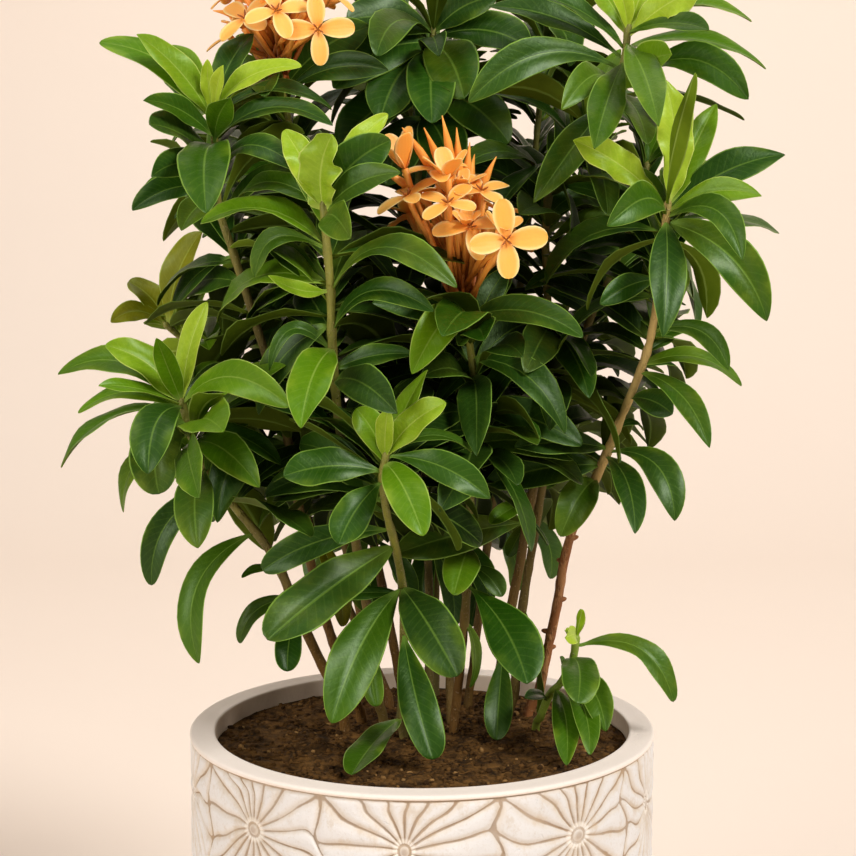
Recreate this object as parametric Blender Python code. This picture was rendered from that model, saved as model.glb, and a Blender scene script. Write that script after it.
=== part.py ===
"""Potted ixora: a bushy flowering shrub with many thin stems in a cylindrical carved pot.

Metres, +Z up. The pot stands on z = 0 with its axis through the origin, and its front looks along -Y.
"""

import itertools
import math
import random

import bmesh
import bpy
import numpy as np
from mathutils import Vector
from mathutils.bvhtree import BVHTree

MM = 0.001
GAP = 0.3 * MM

# Pot
POT_RADIUS = 100 * MM
POT_HEIGHT = 179 * MM
POT_INNER_RADIUS = 89 * MM
POT_FLOOR = 14 * MM
RIM_FLAT_RADIUS = 98.9 * MM
SHOULDER_HEIGHT = 177.9 * MM
FOOT_INSET = 1.5 * MM
FOOT_BEVEL = 1.3 * MM
GROOVE_DEPTH = 1.2 * MM
BUTTON_DEPTH = 0.3 * MM

# Carved flowers: three staggered rows of ten, with eighteen petals each. They were cut by hand, so
# their spacing swells and shrinks twice round the wall.
FLOWERS_AROUND = 10
FLOWER_ROWS = 3
PETALS_PER_EDGE = 3
ROW_SPACING = 60 * MM
TOP_ROW_HEIGHT = 155 * MM
PATTERN_TURN = math.radians(-2.5)
PATTERN_SWELL = math.radians(5)
PETAL_CREST = 0.62

# Soil
SOIL_LEVEL = 171.4 * MM
SOIL_ROUGHNESS = 0.6 * MM
SOIL_RADIUS = 88.3 * MM
HOLE_DEPTH = 28 * MM
HOLE_CLEARANCE = 0.45 * MM

# Leaves
BLADE_THICKNESS = 0.9 * MM
BLADE_FOLD = 0.2
ROOM = 0.4 * MM
WIDTH_TO_LENGTH = 0.24
DEPTH_TRIES = (0, 6, -6, 12, -12, 18, -18, 26, -26, 36, -36)
TURN_TRIES = (0, 18, -18)
SHORT_LEAF = 38 * MM
LONG_SECTIONS = ((0.26, 0.55), (0.55, 1.0), (0.82, 0.74))
SHORT_SECTIONS = ((0.34, 0.78), (0.72, 0.92))
STEM_SIDES = 5

# Flower heads
PETAL_ORANGE = (0.9, 0.36, 0.06)
PETAL_THICKNESS = 0.8 * MM
BROAD_PETAL = ((0.0, 0.0), (0.6, 0.32), (0.96, 0.15), (0.96, -0.15), (0.6, -0.32))
POINTED_PETAL = ((0.0, 0.0), (0.62, 0.31), (1.0, 0.0), (0.62, -0.31))
TUBE_RADIUS = 1.1 * MM
CORE_LENGTH = 16 * MM
CORE_RADIUS = 5.5 * MM

# The plant is laid out as it is seen from here, a little above and in front of the pot
VIEWPOINT = Vector((0.0026, -0.9236, 0.4436))

# Stems, in millimetres. The foot is where a stem leaves the soil. Its route goes on through points
# (x, z, near): where the point is seen on the upright plane through the pot's axis, and how far in front
# of that plane it is. The radius is given at the foot and at the tip.
# A leaf is (height where its stem bears it, x, z and near of its tip, seen width, rise of its arch).
# Pairs are (number of pairs, lowest height, highest height, 1 if they grow only to the rear).
# Young says how far the leaf colour goes from mature to young green.
SHOOTS = {
    "stem_east": {
        "foot": (48, 44),
        "route": [
            (50, 192, -42), (54, 212, -38), (58, 232, -33), (61, 252, -27), (66, 270, -20), (73, 285, -13),
            (79, 299, -6), (84, 312, 0), (90, 327, 8), (96, 345, 16), (99, 365, 24), (101, 385, 30),
            (103, 404, 34),
        ],
        "radius": (2.3, 1.2),
        "leaves": [
            (401, 63, 431, 44, 13, 3), (402, 104, 455.5, 30, 15, 3), (402, 122, 446, 14, 12, 2),
            (402, 115, 457, 52, 9, -6), (400, 151.5, 426.5, 30, 15, 4), (400, 142, 407, 54, 10, 5),
            (399, 79, 395, 70, 14, 9), (397, 98.8, 348.6, 66, 15, 4), (398, 136.5, 381, 62, 12, 12),
            (396, 147, 354.7, 46, 17, 8), (397, 152.3, 392, 6, 5, 3), (386, 108, 358.5, 2, 9, 5),
            (372, 74, 364, 44, 10, 2), (350, 131, 334, 32, 9, 9), (341, 107, 347, 6, 4, 1),
            (336, 134.8, 325.8, 16, 8, 8), (333, 119.5, 300, 42, 9, 7), (322, 106, 315, 26, 12, 2),
            (309, 95, 308, -14, 3, 3), (299, 109, 269, 22, 14, 11), (297, 91.5, 264, 40, 12, 6),
            (300, 40, 298, 24, 13, 3), (293, 27, 283, 2, 17, 3), (287, 59, 262, 10, 15, 6),
        ],
        "pairs": (4, 318, 388, 1),
        "young": 0.3,
    },
    "stem_north_east": {
        "foot": (30, 28),
        "route": [
            (31, 187, -26), (34, 206, -24), (38, 230, -22), (42, 250, -20), (45, 270, -18), (49, 290, -16),
            (53, 312, -14), (54, 335, -14), (53, 362, -16), (52, 390, -18), (54, 412, -18), (62, 428, -14),
            (74, 440, -8), (81, 451, -5), (84, 463, -2), (85.3, 477, 0.5),
        ],
        "radius": (2.2, 1.2),
        "leaves": [
            (459, 17.5, 446.7, 26, 15, 13), (450, 57, 445, 42, 9, 10), (463, 28, 486, 2, 13, 5),
            (467, 48, 488, 16, 9, 4), (452, 104.5, 468, 44, 15, 3), (472, 117, 493, 24, 17, 3),
            (474, 79, 497, 14, 9, 2), (475, 138, 483, 2, 7, 7), (474, 118, 476, 34, 7, 3),
            (468, 145, 463.5, 14, 9, 6), (451, 136.5, 449, 38, 13, 14), (449, 94, 431, 48, 8, 4),
            (453, 135.5, 440, -8, 5, 2), (474, 96, 501, -4, 12, 2), (473, 66, 498, -10, 10, 2),
            (268, -8, 251, 24, 17, 3), (270, 38, 252, -34, 7, 2), (277, 30, 267, 4, 8, 2),
            (352, 69.5, 322, 22, 15, 4), (339, 5, 313, 18, 8, 12), (405, 36, 391, -30, 10, 5),
            (398, 74, 402, -26, 10, 6), (212, 29.5, 173.5, 8, 12, 2),
        ],
        "pairs": (5, 300, 430, 1),
        "young": 0.4,
    },
    "stem_right_back": {
        "foot": (39, 41),
        "route": [
            (40, 192, -40), (41, 212, -38), (44, 237, -35), (48, 262, -32), (52, 288, -30), (56, 310, -28),
            (60, 328, -26), (67, 344, -25), (72, 358, -26), (78, 371, -28), (84, 385, -32), (90, 402, -38),
            (94, 420, -42),
        ],
        "radius": (2.1, 1.1),
        "leaves": [
            (384, 61, 383, -16, 10, 3), (366, 45, 367, -2, 6, 8), (357, 52, 366, -12, 8, 2),
            (343, 79, 339.5, -12, 5, 2), (420, 118, 424, -20, 11, 7), (420, 112, 447, -44, 11, 3),
            (232, 50, 184, -34, 6, 3),
        ],
        "pairs": (7, 285, 416, 1),
        "young": 0.1,
    },
    "stem_middle_bloom": {
        "foot": (14, 14),
        "route": [
            (15, 190, -12), (17, 210, -8), (19, 235, -4), (20, 260, 0), (21, 285, 4), (22, 305, 8),
            (22, 328, 13), (20, 346, 19), (17.5, 361, 25),
        ],
        "radius": (2.0, 1.3),
        "leaves": [
            (355, 69.5, 352, 58, 13, 6), (355, -5, 333, 64, 15, 11), (350, 15, 344, 40, 5, 1),
            (241, 48, 198, 40, 22, 4), (257, 12, 238, 44, 15, 4), (250, 35, 236, 6, 9, 2),
            (318, 36, 306, -14, 12, 3), (226, 22.5, 195, -6, 6, 3),
        ],
        "pairs": (3, 285, 345, 1),
        "young": 0.1,
    },
    "stem_centre_tall": {
        "foot": (-17, 24),
        "route": [
            (-19, 190, -20), (-21, 212, -12), (-25, 240, -2), (-30, 270, 12), (-34, 300, 26),
            (-37, 330, 40), (-38, 350, 46), (-38.5, 370, 51), (-40, 388, 55), (-41, 404, 57),
        ],
        "radius": (2.1, 1.4),
        "leaves": [
            (400, -38, 433, 70, 17, 3), (402, -58, 434, 58, 12, 3), (402, -13, 430, 62, 17, 4),
            (403, -13, 440, 44, 9, 4), (400, -9, 417, 76, 12, 4), (398, -29, 390.5, 92, 14, 4),
            (402, -78, 403, 26, 8, 10), (385, -70, 372, 46, 9, 12), (367, -64, 375, 70, 7, -3),
            (367, 14, 367.5, 74, 9, 18), (350, 6, 359.5, 68, 7, 13), (334, -4, 342, 48, 9, 2),
            (329, -12, 313, 78, 15, 7), (342, -64, 333, 50, 6, 14), (343, -51, 308, 88, 17, 6),
            (216, -20.5, 187, 6, 9, 2),
        ],
        "pairs": (5, 285, 392, 1),
        "young": 0.4,
    },
    "stem_front_low": {
        "foot": (-8, 6),
        "route": [
            (-9, 182, -2), (-8, 205, 6), (-8, 235, 18), (-11, 256, 36), (-15, 272, 48), (-17, 287, 56),
            (-15, 298, 60),
        ],
        "radius": (2.0, 1.2),
        "leaves": [
            (293, -27, 318, 62, 12, 2), (296, 10, 320, 70, 13, 3), (296, 3, 334, 52, 7, 2),
            (295, -14, 316, 72, 8, 1), (294, 0, 262, 92, 15, 6), (297, 30, 279, 72, 13, 5),
            (297, 22, 299, 52, 4, 8), (290, -59.5, 290, 68, 16, 3), (286, -36, 259, 78, 15, 3),
            (265, -70, 249.5, 50, 12, 4), (258, -64.5, 214, 78, 21, 3), (240, -43, 181, 66, 20, 5),
            (240, 12, 200, 64, 20, 5), (220, 1, 163, 48, 16, 3), (237, -38, 236, 34, 5, 1),
            (171, -33, 155, 40, 8, 2),
        ],
        "pairs": (1, 280, 290, 1),
        "young": 0.15,
    },
    "stem_north_west": {
        "foot": (-27, 30),
        "route": [
            (-29, 190, -26), (-37, 212, -22), (-44, 235, -18), (-50, 262, -12), (-55, 290, -6),
            (-60, 320, 2), (-69, 350, 8), (-75, 370, 12), (-80, 386, 15), (-85, 402, 18), (-86, 420, 20),
            (-86.5, 442, 22),
        ],
        "radius": (2.2, 1.2),
        "leaves": [
            (438, -133, 470.5, 18, 14, 8), (437, -119, 472, 36, 13, 4), (440, -106.6, 456.5, -6, 10, 2),
            (431, -116.5, 447, 50, 10, 4), (420, -113.7, 435.7, 48, 17, 4), (428, -86, 399, 78, 20, 9),
            (417, -113.9, 417, 56, 13, 4), (413, -117, 410.5, 4, 8, 2), (410, -119.4, 399.3, 34, 12, 5),
            (405, -101.6, 393.6, 52, 11, 3), (442, -50.5, 458, 44, 9, 6), (441, -89, 463, 30, 6, 1),
            (441, -82, 460, 40, 6, 1), (428, -83, 447, 58, 11, 2), (441, -103, 468.5, 4, 9, 6),
            (440, -36, 444, 14, 7, 9), (430, -36, 437, 28, 7, 10), (415, -52, 414, 54, 10, 13),
            (442, -72, 476, 8, 13, 2), (319, -89, 290, 18, 11, 8), (302, -89, 268, 30, 16, 12),
            (382, -105, 360, -10, 9, 4),
        ],
        "pairs": (5, 290, 410, 1),
        "young": 0.25,
    },
    "stem_west": {
        "foot": (-34, 16),
        "route": [
            (-37, 192, -12), (-46, 212, -4), (-54, 230, 2), (-60, 246, 7), (-68, 260, 11), (-80, 275, 15),
            (-92, 291, 20), (-98, 306, 24), (-102, 321, 27),
        ],
        "radius": (2.3, 1.2),
        "leaves": [
            (320, -133.5, 345, 32, 15, 4), (320, -154, 330, 10, 9, 12), (319, -136, 327, 46, 6, 2),
            (316, -144, 313, 26, 8, 9), (320, -91, 362, 34, 10, 2), (320, -113, 346, 50, 9, 2),
            (320, -70, 331, 2, 10, 6), (319, -54, 320, 64, 14, 12), (317, -156, 293, 38, 9, 9),
            (318, -115, 290, 66, 17, 9), (312, -113, 280, 46, 20, 9), (306, -131, 273, 18, 9, 9),
            (291, -94, 258, 60, 16, 8), (289, -89, 268, 38, 8, 4), (283, -116, 240, 30, 12, 10),
            (264, -99, 205, 34, 10, 14), (246, -77, 244, 18, 4, 3), (235, -79, 215, 6, 8, 6),
            (228, -57.5, 203, 24, 11, 3),
        ],
        "pairs": (2, 285, 308, 1),
        "young": 0.4,
    },
    "stem_left_back": {
        "foot": (-15, 53),
        "route": [
            (-17, 198, -52), (-31, 230, -50), (-48, 268, -46), (-66, 303, -42), (-84, 330, -36),
            (-98, 344, -30), (-108, 353, -24),
        ],
        "radius": (1.9, 1.1),
        "leaves": [
            (352, -92, 391, -14, 15, 4), (352, -124, 370, -30, 12, 3), (353, -132, 355, -14, 9, 5),
        ],
        "pairs": (6, 275, 345, 0),
        "young": 0.5,
    },
    "stem_left_bloom": {
        "foot": (-7, 40),
        "route": [
            (-9, 196, -38), (-15, 230, -38), (-23, 270, -38), (-32, 310, -36), (-40, 350, -34),
            (-47, 390, -30), (-53, 425, -24), (-57, 445, -18), (-59, 456, -14),
        ],
        "radius": (2.0, 1.3),
        "leaves": [
            (450, -22, 478, -10, 18, 4), (449, -14, 458, 6, 12, 6), (447, -86, 462, -30, 12, 4),
        ],
        "pairs": (6, 305, 440, 0),
        "young": 0.2,
    },
    "stem_back_centre": {
        "foot": (3, 46),
        "route": [
            (3, 200, -46), (3, 240, -46), (1, 290, -46), (-2, 340, -44), (-3, 390, -42), (0, 430, -40),
            (3, 458, -38), (5, 476, -36),
        ],
        "radius": (2.0, 1.1),
        "leaves": [],
        "pairs": (9, 290, 474, 0),
        "young": 0.05,
    },
    "stem_back_right": {
        "foot": (21, 56),
        "route": [
            (22, 205, -56), (27, 250, -58), (33, 300, -60), (39, 350, -62), (45, 400, -64), (49, 445, -64),
            (51, 472, -62),
        ],
        "radius": (2.0, 1.1),
        "leaves": [],
        "pairs": (8, 300, 470, 0),
        "young": 0.1,
    },
    "stem_rear_left": {
        "foot": (-21, 64),
        "route": [
            (-22, 205, -66), (-30, 245, -72), (-40, 290, -80), (-49, 330, -88), (-56, 365, -94),
            (-61, 395, -98), (-64, 420, -98),
        ],
        "radius": (2.0, 1.1),
        "leaves": [],
        "pairs": (7, 272, 418, 0),
        "young": 0.15,
    },
    "stem_rear_right": {
        "foot": (34, 62),
        "route": [
            (35, 208, -66), (42, 250, -74), (50, 300, -84), (58, 345, -92), (64, 380, -96), (68, 412, -98),
        ],
        "radius": (2.0, 1.1),
        "leaves": [],
        "pairs": (7, 272, 410, 0),
        "young": 0.1,
    },
    "stem_rear_centre": {
        "foot": (6, 70),
        "route": [
            (6, 212, -76), (6, 255, -86), (6, 300, -98), (6, 335, -106), (5, 366, -110),
        ],
        "radius": (1.9, 1.1),
        "leaves": [],
        "pairs": (6, 265, 364, 0),
        "young": 0.05,
    },
    "stem_rear_top": {
        "foot": (13, 34),
        "route": [
            (12, 202, -42), (13, 250, -58), (12, 300, -66), (9, 350, -72), (4, 400, -76), (-4, 440, -78),
            (-10, 464, -78),
        ],
        "radius": (2.0, 1.1),
        "leaves": [],
        "pairs": (7, 302, 462, 0),
        "young": 0.1,
    },
    "sprout_right": {
        "foot": (50, 16),
        "route": [
            (51, 182, -10), (55, 192, -5), (61, 199, 2), (65, 208, 6), (66.5, 218, 8),
        ],
        "radius": (1.7, 1.3),
        "leaves": [
            (214, 109, 189, 20, 11, 13), (209, 69, 189.5, 44, 16, 4), (218, 61.5, 221, 16, 4, 0),
            (218, 70.5, 228.5, 12, 3, 0), (203, 82, 177, 34, 12, 5), (199, 76, 165, 42, 10, 5),
            (195, 64.5, 161, 44, 10, 4), (190, 46, 190.5, 16, 5, 2), (201, 60, 208.5, 8, 3, 0),
        ],
        "pairs": (0, 0, 0, 0),
        "young": 0.5,
    },
}

# Flower heads, in millimetres as above: where the tubes meet, open flowers as (x, z, near, how far they
# turn to the front, petal length, spin in degrees), and the tips of the buds
HEADS = {
    "flower_head_middle": {
        "stem": "stem_middle_bloom",
        "flowers": [
            (35.5, 388.5, 62, 0.95, 16, 8), (20.5, 394, 50, 0.6, 16, 15), (-6, 407, 46, 0.3, 14, 20),
            (6, 418, 40, 0.25, 14, 5), (25, 409, 42, 0.35, 14, 35), (11, 404, 54, 0.4, 14, 50),
            (32, 401, 14, 0.0, 13, 10), (8, 409, 8, 0.0, 13, 30), (20, 412, -4, 0.0, 13, 0),
            (-5, 398, 12, 0.0, 13, 40), (36, 388, -2, 0.0, 13, 20),
        ],
        "buds": [
            (-8, 435, 42), (-19, 419, 38), (1, 435, 40), (8.5, 440, 36), (14.5, 435, 32), (20, 429, 28),
            (31, 423, 26), (29, 420, 36), (-2, 428, 18), (22, 424, 8),
        ],
    },
    "flower_head_top": {
        "stem": "stem_left_bloom",
        "flowers": [
            (-43, 475.5, 24, 0.85, 15, 10), (-60, 483, 22, 0.5, 15, 20), (-73, 480, 12, 0.35, 14, 40),
            (-80, 473, -6, 0.1, 12, 10), (-50, 495, 8, 0.2, 14, 30), (-67, 498, 4, 0.1, 14, 10),
            (-38, 490, -2, 0.1, 13, 55), (-77, 490, -14, 0.0, 13, 20), (-58, 502, -16, 0.0, 13, 0),
            (-46, 488, -40, 0.0, 13, 30), (-66, 486, -46, 0.0, 13, 15),
        ],
        "buds": [(-31, 497, 4), (-27, 489, -6), (-86, 483, -4), (-48, 507, -4), (-64, 508, -26)],
    },
}

# Widest places where the tip of a rule-grown leaf may be seen, as (z, leftmost x, rightmost x)
SPREAD = (
    (255, -60, 60), (280, -104, 88), (300, -122, 102), (350, -122, 122), (400, -116, 134),
    (450, -116, 132), (480, -98, 128), (505, -66, 106),
)
DEEPEST = 132 * MM

MATURE_GREEN = (0.03, 0.11, 0.015)
YOUNG_GREEN = (0.17, 0.35, 0.04)


def seen(x, z, near):
    """The point on the line of sight to (x, z) that is near millimetres in front of the axis plane."""
    there = Vector((x * MM, 0.0, z * MM))
    return VIEWPOINT + (there - VIEWPOINT) * (1.0 + near * MM / VIEWPOINT.y)


def material(name, colour, roughness):
    made = bpy.data.materials.new(name)
    made.use_nodes = True
    shader = made.node_tree.nodes["Principled BSDF"]
    shader.inputs["Base Color"].default_value = (*colour, 1.0)
    shader.inputs["Roughness"].default_value = roughness
    shader.inputs["Metallic"].default_value = 0.0
    return made


def new_object(name, points, faces, collection=None):
    mesh = bpy.data.meshes.new(name)
    mesh.from_pydata([tuple(p) for p in points], [], faces)
    made = bpy.data.objects.new(name, mesh)
    (collection or bpy.context.scene.collection).objects.link(made)
    return made


def islands(mesh):
    """The separate bodies of a mesh, as lists of faces."""
    left = set(mesh.faces)
    found = []
    while left:
        queue = [left.pop()]
        body = []
        while queue:
            face = queue.pop()
            body.append(face)
            for edge in face.edges:
                for other in edge.link_faces:
                    if other in left:
                        left.discard(other)
                        queue.append(other)
        found.append(body)
    return found


def size_of(faces):
    """Six times the volume inside a triangulated body."""
    total = 0.0
    for face in faces:
        a, b, c = (v.co for v in face.verts)
        total += a.dot(b.cross(c))
    return total


def keep_body(obj):
    """Leaves only the largest body: it fills sealed hollows and drops loose scraps."""
    mesh = bmesh.new()
    mesh.from_mesh(obj.data)
    bmesh.ops.triangulate(mesh, faces=mesh.faces[:])
    bodies = sorted(islands(mesh), key=size_of)
    spare = [face for body in bodies[:-1] for face in body]
    bmesh.ops.delete(mesh, geom=spare, context="FACES")
    mesh.to_mesh(obj.data)
    mesh.free()


def combine(obj, pieces, operation):
    """Joins the pieces to the object, or cuts them from it, and removes them."""
    group = bpy.data.collections.new(obj.name + "_pieces")
    bpy.context.scene.collection.children.link(group)
    for number, (points, faces) in enumerate(pieces):
        piece = new_object(f"{obj.name}_{number}", points, faces, group)
        piece.hide_render = True
        piece.display_type = "WIRE"
    step = obj.modifiers.new("combine", "BOOLEAN")
    step.operation = operation
    step.operand_type = "COLLECTION"
    step.collection = group
    step.solver = "EXACT"
    graph = bpy.context.evaluated_depsgraph_get()
    combined = bpy.data.meshes.new_from_object(obj.evaluated_get(graph))
    obj.modifiers.clear()
    obj.data = combined
    for piece in list(group.objects):
        bpy.data.objects.remove(piece)
    bpy.data.collections.remove(group)
    keep_body(obj)


def smooth(obj, angle=35):
    obj.data.shade_smooth()
    obj.data.set_sharp_from_angle(angle=math.radians(angle))


def tube(centres, radii, sides, pointed=False):
    """A closed tube round a line of points, as (points, faces)."""
    centres = [Vector(c) for c in centres]
    across = (centres[1] - centres[0]).orthogonal().normalized()
    points, faces = [], []
    for i, centre in enumerate(centres):
        before = centres[max(i - 1, 0)]
        after = centres[min(i + 1, len(centres) - 1)]
        along = (after - before).normalized()
        across = (across - along * across.dot(along)).normalized()
        other = along.cross(across)
        for k in range(sides):
            turn = 2 * math.pi * k / sides
            points.append(centre + (across * math.cos(turn) + other * math.sin(turn)) * radii[i])
    rings = len(centres)
    for i in range(rings - 1):
        for k in range(sides):
            a = i * sides + k
            b = i * sides + (k + 1) % sides
            faces.append((a, b, b + sides, a + sides))
    faces.append(tuple(reversed(range(sides))))
    top = (rings - 1) * sides
    if pointed:
        points.append(centres[-1] + along * radii[-1] * 2)
        faces += [(top + k, top + (k + 1) % sides, len(points) - 1) for k in range(sides)]
    else:
        faces.append(tuple(top + k for k in range(sides)))
    return points, faces


class Stem:
    """A stem's centre line, from the foot of its hole to its tip."""

    def __init__(self, row):
        x, y = row["foot"]
        foot = Vector((x * MM, y * MM, SOIL_LEVEL + SOIL_ROUGHNESS + 1 * MM))
        bottom = Vector((foot.x, foot.y, SOIL_LEVEL - HOLE_DEPTH + GAP))
        self.heights = [point[1] for point in row["route"]]
        self.seen_points = [seen(*point) for point in row["route"]]
        self.centres = [bottom, foot, *self.seen_points]
        self.base_radius, self.tip_radius = (r * MM for r in row["radius"])
        self.radii = [self.radius_at(i / (len(self.centres) - 1)) for i in range(len(self.centres))]

    def radius_at(self, share):
        return self.base_radius + (self.tip_radius - self.base_radius) * share

    def at(self, height):
        """The point of the centre line that is seen at this height."""
        height = min(max(height, self.heights[0]), self.heights[-1])
        for i in range(len(self.heights) - 1):
            low, high = self.heights[i], self.heights[i + 1]
            if height <= high:
                share = (height - low) / (high - low)
                return self.seen_points[i].lerp(self.seen_points[i + 1], share)

    def tip(self):
        return self.centres[-1]

    def direction(self):
        return (self.centres[-1] - self.centres[-2]).normalized()


class Leaf:
    """A leaf blade: its centre line arches from base to tip, and its face looks along facing."""

    def __init__(self, base, tip, width, arch, facing, sections):
        self.base, self.tip, self.width = base, tip, width
        chord = tip - base
        self.length = chord.length
        self.chord = chord
        along = chord.normalized()
        self.lift = Leaf.upward(base, along)
        self.arch = arch
        self.facing = facing
        self.sections = sections

    @staticmethod
    def upward(base, along):
        """Square to the blade and nearest to straight up, or outwards on an upright one."""
        outward = Vector((base.x, base.y, 0.0)).normalized()
        up = Vector((0.0, 0.0, 1.0)) + outward * 0.35
        return (up - along * up.dot(along)).normalized()

    def centre(self, t):
        return self.base + self.chord * t + self.lift * (self.arch * 4 * t * (1 - t))

    def square(self, t):
        """The directions across the blade and out of its upper face."""
        along = (self.chord + self.lift * (self.arch * 4 * (1 - 2 * t))).normalized()
        side = along.cross(self.facing).normalized()
        return side, side.cross(along)

    def mesh(self, start=0.0, room=0.0):
        """A thin closed blade, folded a little along its rib, from start to tip."""
        points = [self.centre(start)]
        for t, share in self.sections:
            if t <= start:
                continue
            centre = self.centre(t)
            side, face = self.square(t)
            half = self.width / 2 * share + room
            thick = BLADE_THICKNESS / 2 + room
            edge = face * (BLADE_FOLD * half)
            points += [centre - side * half + edge, centre + side * half + edge]
            points += [centre + face * thick, centre - face * thick]
        points.append(self.centre(1.0) + self.chord.normalized() * room)
        return points, blade_faces((len(points) - 2) // 4)


def blade_faces(sections):
    """Triangles of a blade, split alike on both faces: each section is left, right, top, bottom."""
    left, right, top, bottom = 1, 2, 3, 4
    faces = [(0, top, left), (0, right, top), (0, left, bottom), (0, bottom, right)]
    for _ in range(sections - 1):
        faces += [(left, top, top + 4), (left, top + 4, left + 4)]
        faces += [(top, right, top + 4), (right, right + 4, top + 4)]
        faces += [(left, left + 4, bottom + 4), (left, bottom + 4, bottom)]
        faces += [(bottom, bottom + 4, right), (bottom + 4, right + 4, right)]
        left, right, top, bottom = left + 4, right + 4, top + 4, bottom + 4
    tip = bottom + 1
    faces += [(left, top, tip), (top, right, tip), (left, tip, bottom), (bottom, tip, right)]
    return faces


def tree_of(points, faces):
    return BVHTree.FromPolygons([tuple(p) for p in points], faces)


class Solid:
    """Something that leaves are bent clear of: its whole tree, and the tree of its outer part."""

    def __init__(self, owner, whole, outer=None):
        self.owner = owner
        array = np.array([tuple(p) for p in whole[0]])
        self.low, self.high = array.min(axis=0), array.max(axis=0)
        self.whole = tree_of(*whole)
        self.outer = tree_of(*outer) if outer else self.whole

    def meets(self, other):
        if (self.low > other.high).any() or (other.low > self.high).any():
            return False
        if self.owner == other.owner:
            return bool(self.outer.overlap(other.outer))
        return bool(self.whole.overlap(other.whole))


def in_pot_wall(points):
    """Whether a point is in the wall, the rim or the soil, or too close to them."""
    for p in points:
        reach = math.hypot(p.x, p.y)
        if p.z < SOIL_LEVEL + 1.2 * MM and reach < POT_RADIUS + 1.5 * MM:
            return True
        if p.z < POT_HEIGHT + 1 * MM and POT_INNER_RADIUS - 1 * MM < reach < POT_RADIUS + 1.5 * MM:
            return True
    return False


def solid_of_leaf(owner, leaf, room):
    return Solid(owner, leaf.mesh(0.0, room), leaf.mesh(0.24, room))


def is_clear(owner, leaf, placed):
    grown = solid_of_leaf(owner, leaf, ROOM)
    if in_pot_wall(leaf.mesh(0.24)[0]):
        return False
    return not any(grown.meets(other) for other in placed)


def hand_leaf(stem, row, nearer, turned, shorter):
    """The leaf of a row, its tip brought nearer and its face turned as far as needed to be clear."""
    height, x, z, near, seen_width, arch = row
    base = stem.at(height)
    tip = base.lerp(seen(x, z, near + nearer), shorter)
    base = base + (tip - base).normalized() * stem.tip_radius * 0.4
    along = (tip - base).normalized()
    width = max(seen_width * 1.05 * MM, min((tip - base).length * WIDTH_TO_LENGTH, 15 * MM))
    up = Leaf.upward(base, along)
    to_view = (VIEWPOINT - base).normalized()
    to_view = (to_view - along * to_view.dot(along)).normalized()
    angle = math.asin(min(1.0, seen_width * MM / width)) - math.radians(8) + math.radians(turned)
    facing = up * math.cos(angle) + to_view * math.sin(angle)
    sections = LONG_SECTIONS if (tip - base).length > SHORT_LEAF else SHORT_SECTIONS
    return Leaf(base, tip, width, arch * MM, facing.normalized(), sections)


def place_hand_leaves(name, stem, rows, placed):
    """Each row's leaf at the first of a few depths and turns that is clear of all that stands."""
    leaves = []
    for row in rows:
        for shorter, nearer, turned in itertools.product((1.0, 0.85), DEPTH_TRIES, TURN_TRIES):
            leaf = hand_leaf(stem, row, nearer, turned, shorter)
            if is_clear(name, leaf, placed):
                placed.append(solid_of_leaf(name, leaf, 0.0))
                leaves.append(leaf)
                break
    return leaves


def may_grow(tip):
    """Whether a rule-grown leaf may reach this point: inside the bush, and above the bare stems."""
    share = VIEWPOINT.y / (VIEWPOINT.y - tip.y)
    x = (VIEWPOINT.x + (tip.x - VIEWPOINT.x) * share) / MM
    z = (VIEWPOINT.z + (tip.z - VIEWPOINT.z) * share) / MM
    if z < SPREAD[0][0] or z > SPREAD[-1][0] or abs(tip.y) > DEEPEST:
        return False
    heights = [row[0] for row in SPREAD]
    left = np.interp(z, heights, [row[1] for row in SPREAD])
    right = np.interp(z, heights, [row[2] for row in SPREAD])
    return left <= x <= right


def place_pairs(name, stem, pairs, placed, draw):
    """Opposite pairs up the stem, each a quarter turn on from the last, drooping low down and rising
    towards the tip. A leaf that isn't clear is drawn again, and left out after a few draws."""
    number, low, high, rear_only = pairs
    leaves = []
    turn = draw.uniform(0, math.pi / 2)
    for i in range(number):
        share = i / max(number - 1, 1)
        base = stem.at(low + (high - low) * share)
        for side in (0, math.pi):
            for _ in range(16):
                azimuth = turn + side + i * math.pi / 2 + draw.uniform(-0.5, 0.5)
                if rear_only:
                    azimuth = math.atan2(abs(math.sin(azimuth)) + 0.3, math.cos(azimuth))
                rise = math.radians(draw.uniform(-38, -8) + 70 * share ** 1.5)
                length = draw.uniform(48, 60) * MM * (1 - 0.3 * share ** 3)
                way = Vector((math.cos(azimuth) * math.cos(rise), math.sin(azimuth) * math.cos(rise),
                              math.sin(rise)))
                start = base + way * stem.tip_radius * 0.4
                tip = start + way * length
                if not may_grow(tip):
                    continue
                up = Leaf.upward(start, way)
                roll = math.radians(draw.uniform(-30, 30))
                facing = up * math.cos(roll) + way.cross(up) * math.sin(roll)
                leaf = Leaf(start, tip, length * 0.29, length * draw.uniform(0.1, 0.18), facing,
                            SHORT_SECTIONS)
                if is_clear(name, leaf, placed):
                    placed.append(solid_of_leaf(name, leaf, 0.0))
                    leaves.append(leaf)
                    break
    return leaves


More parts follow.
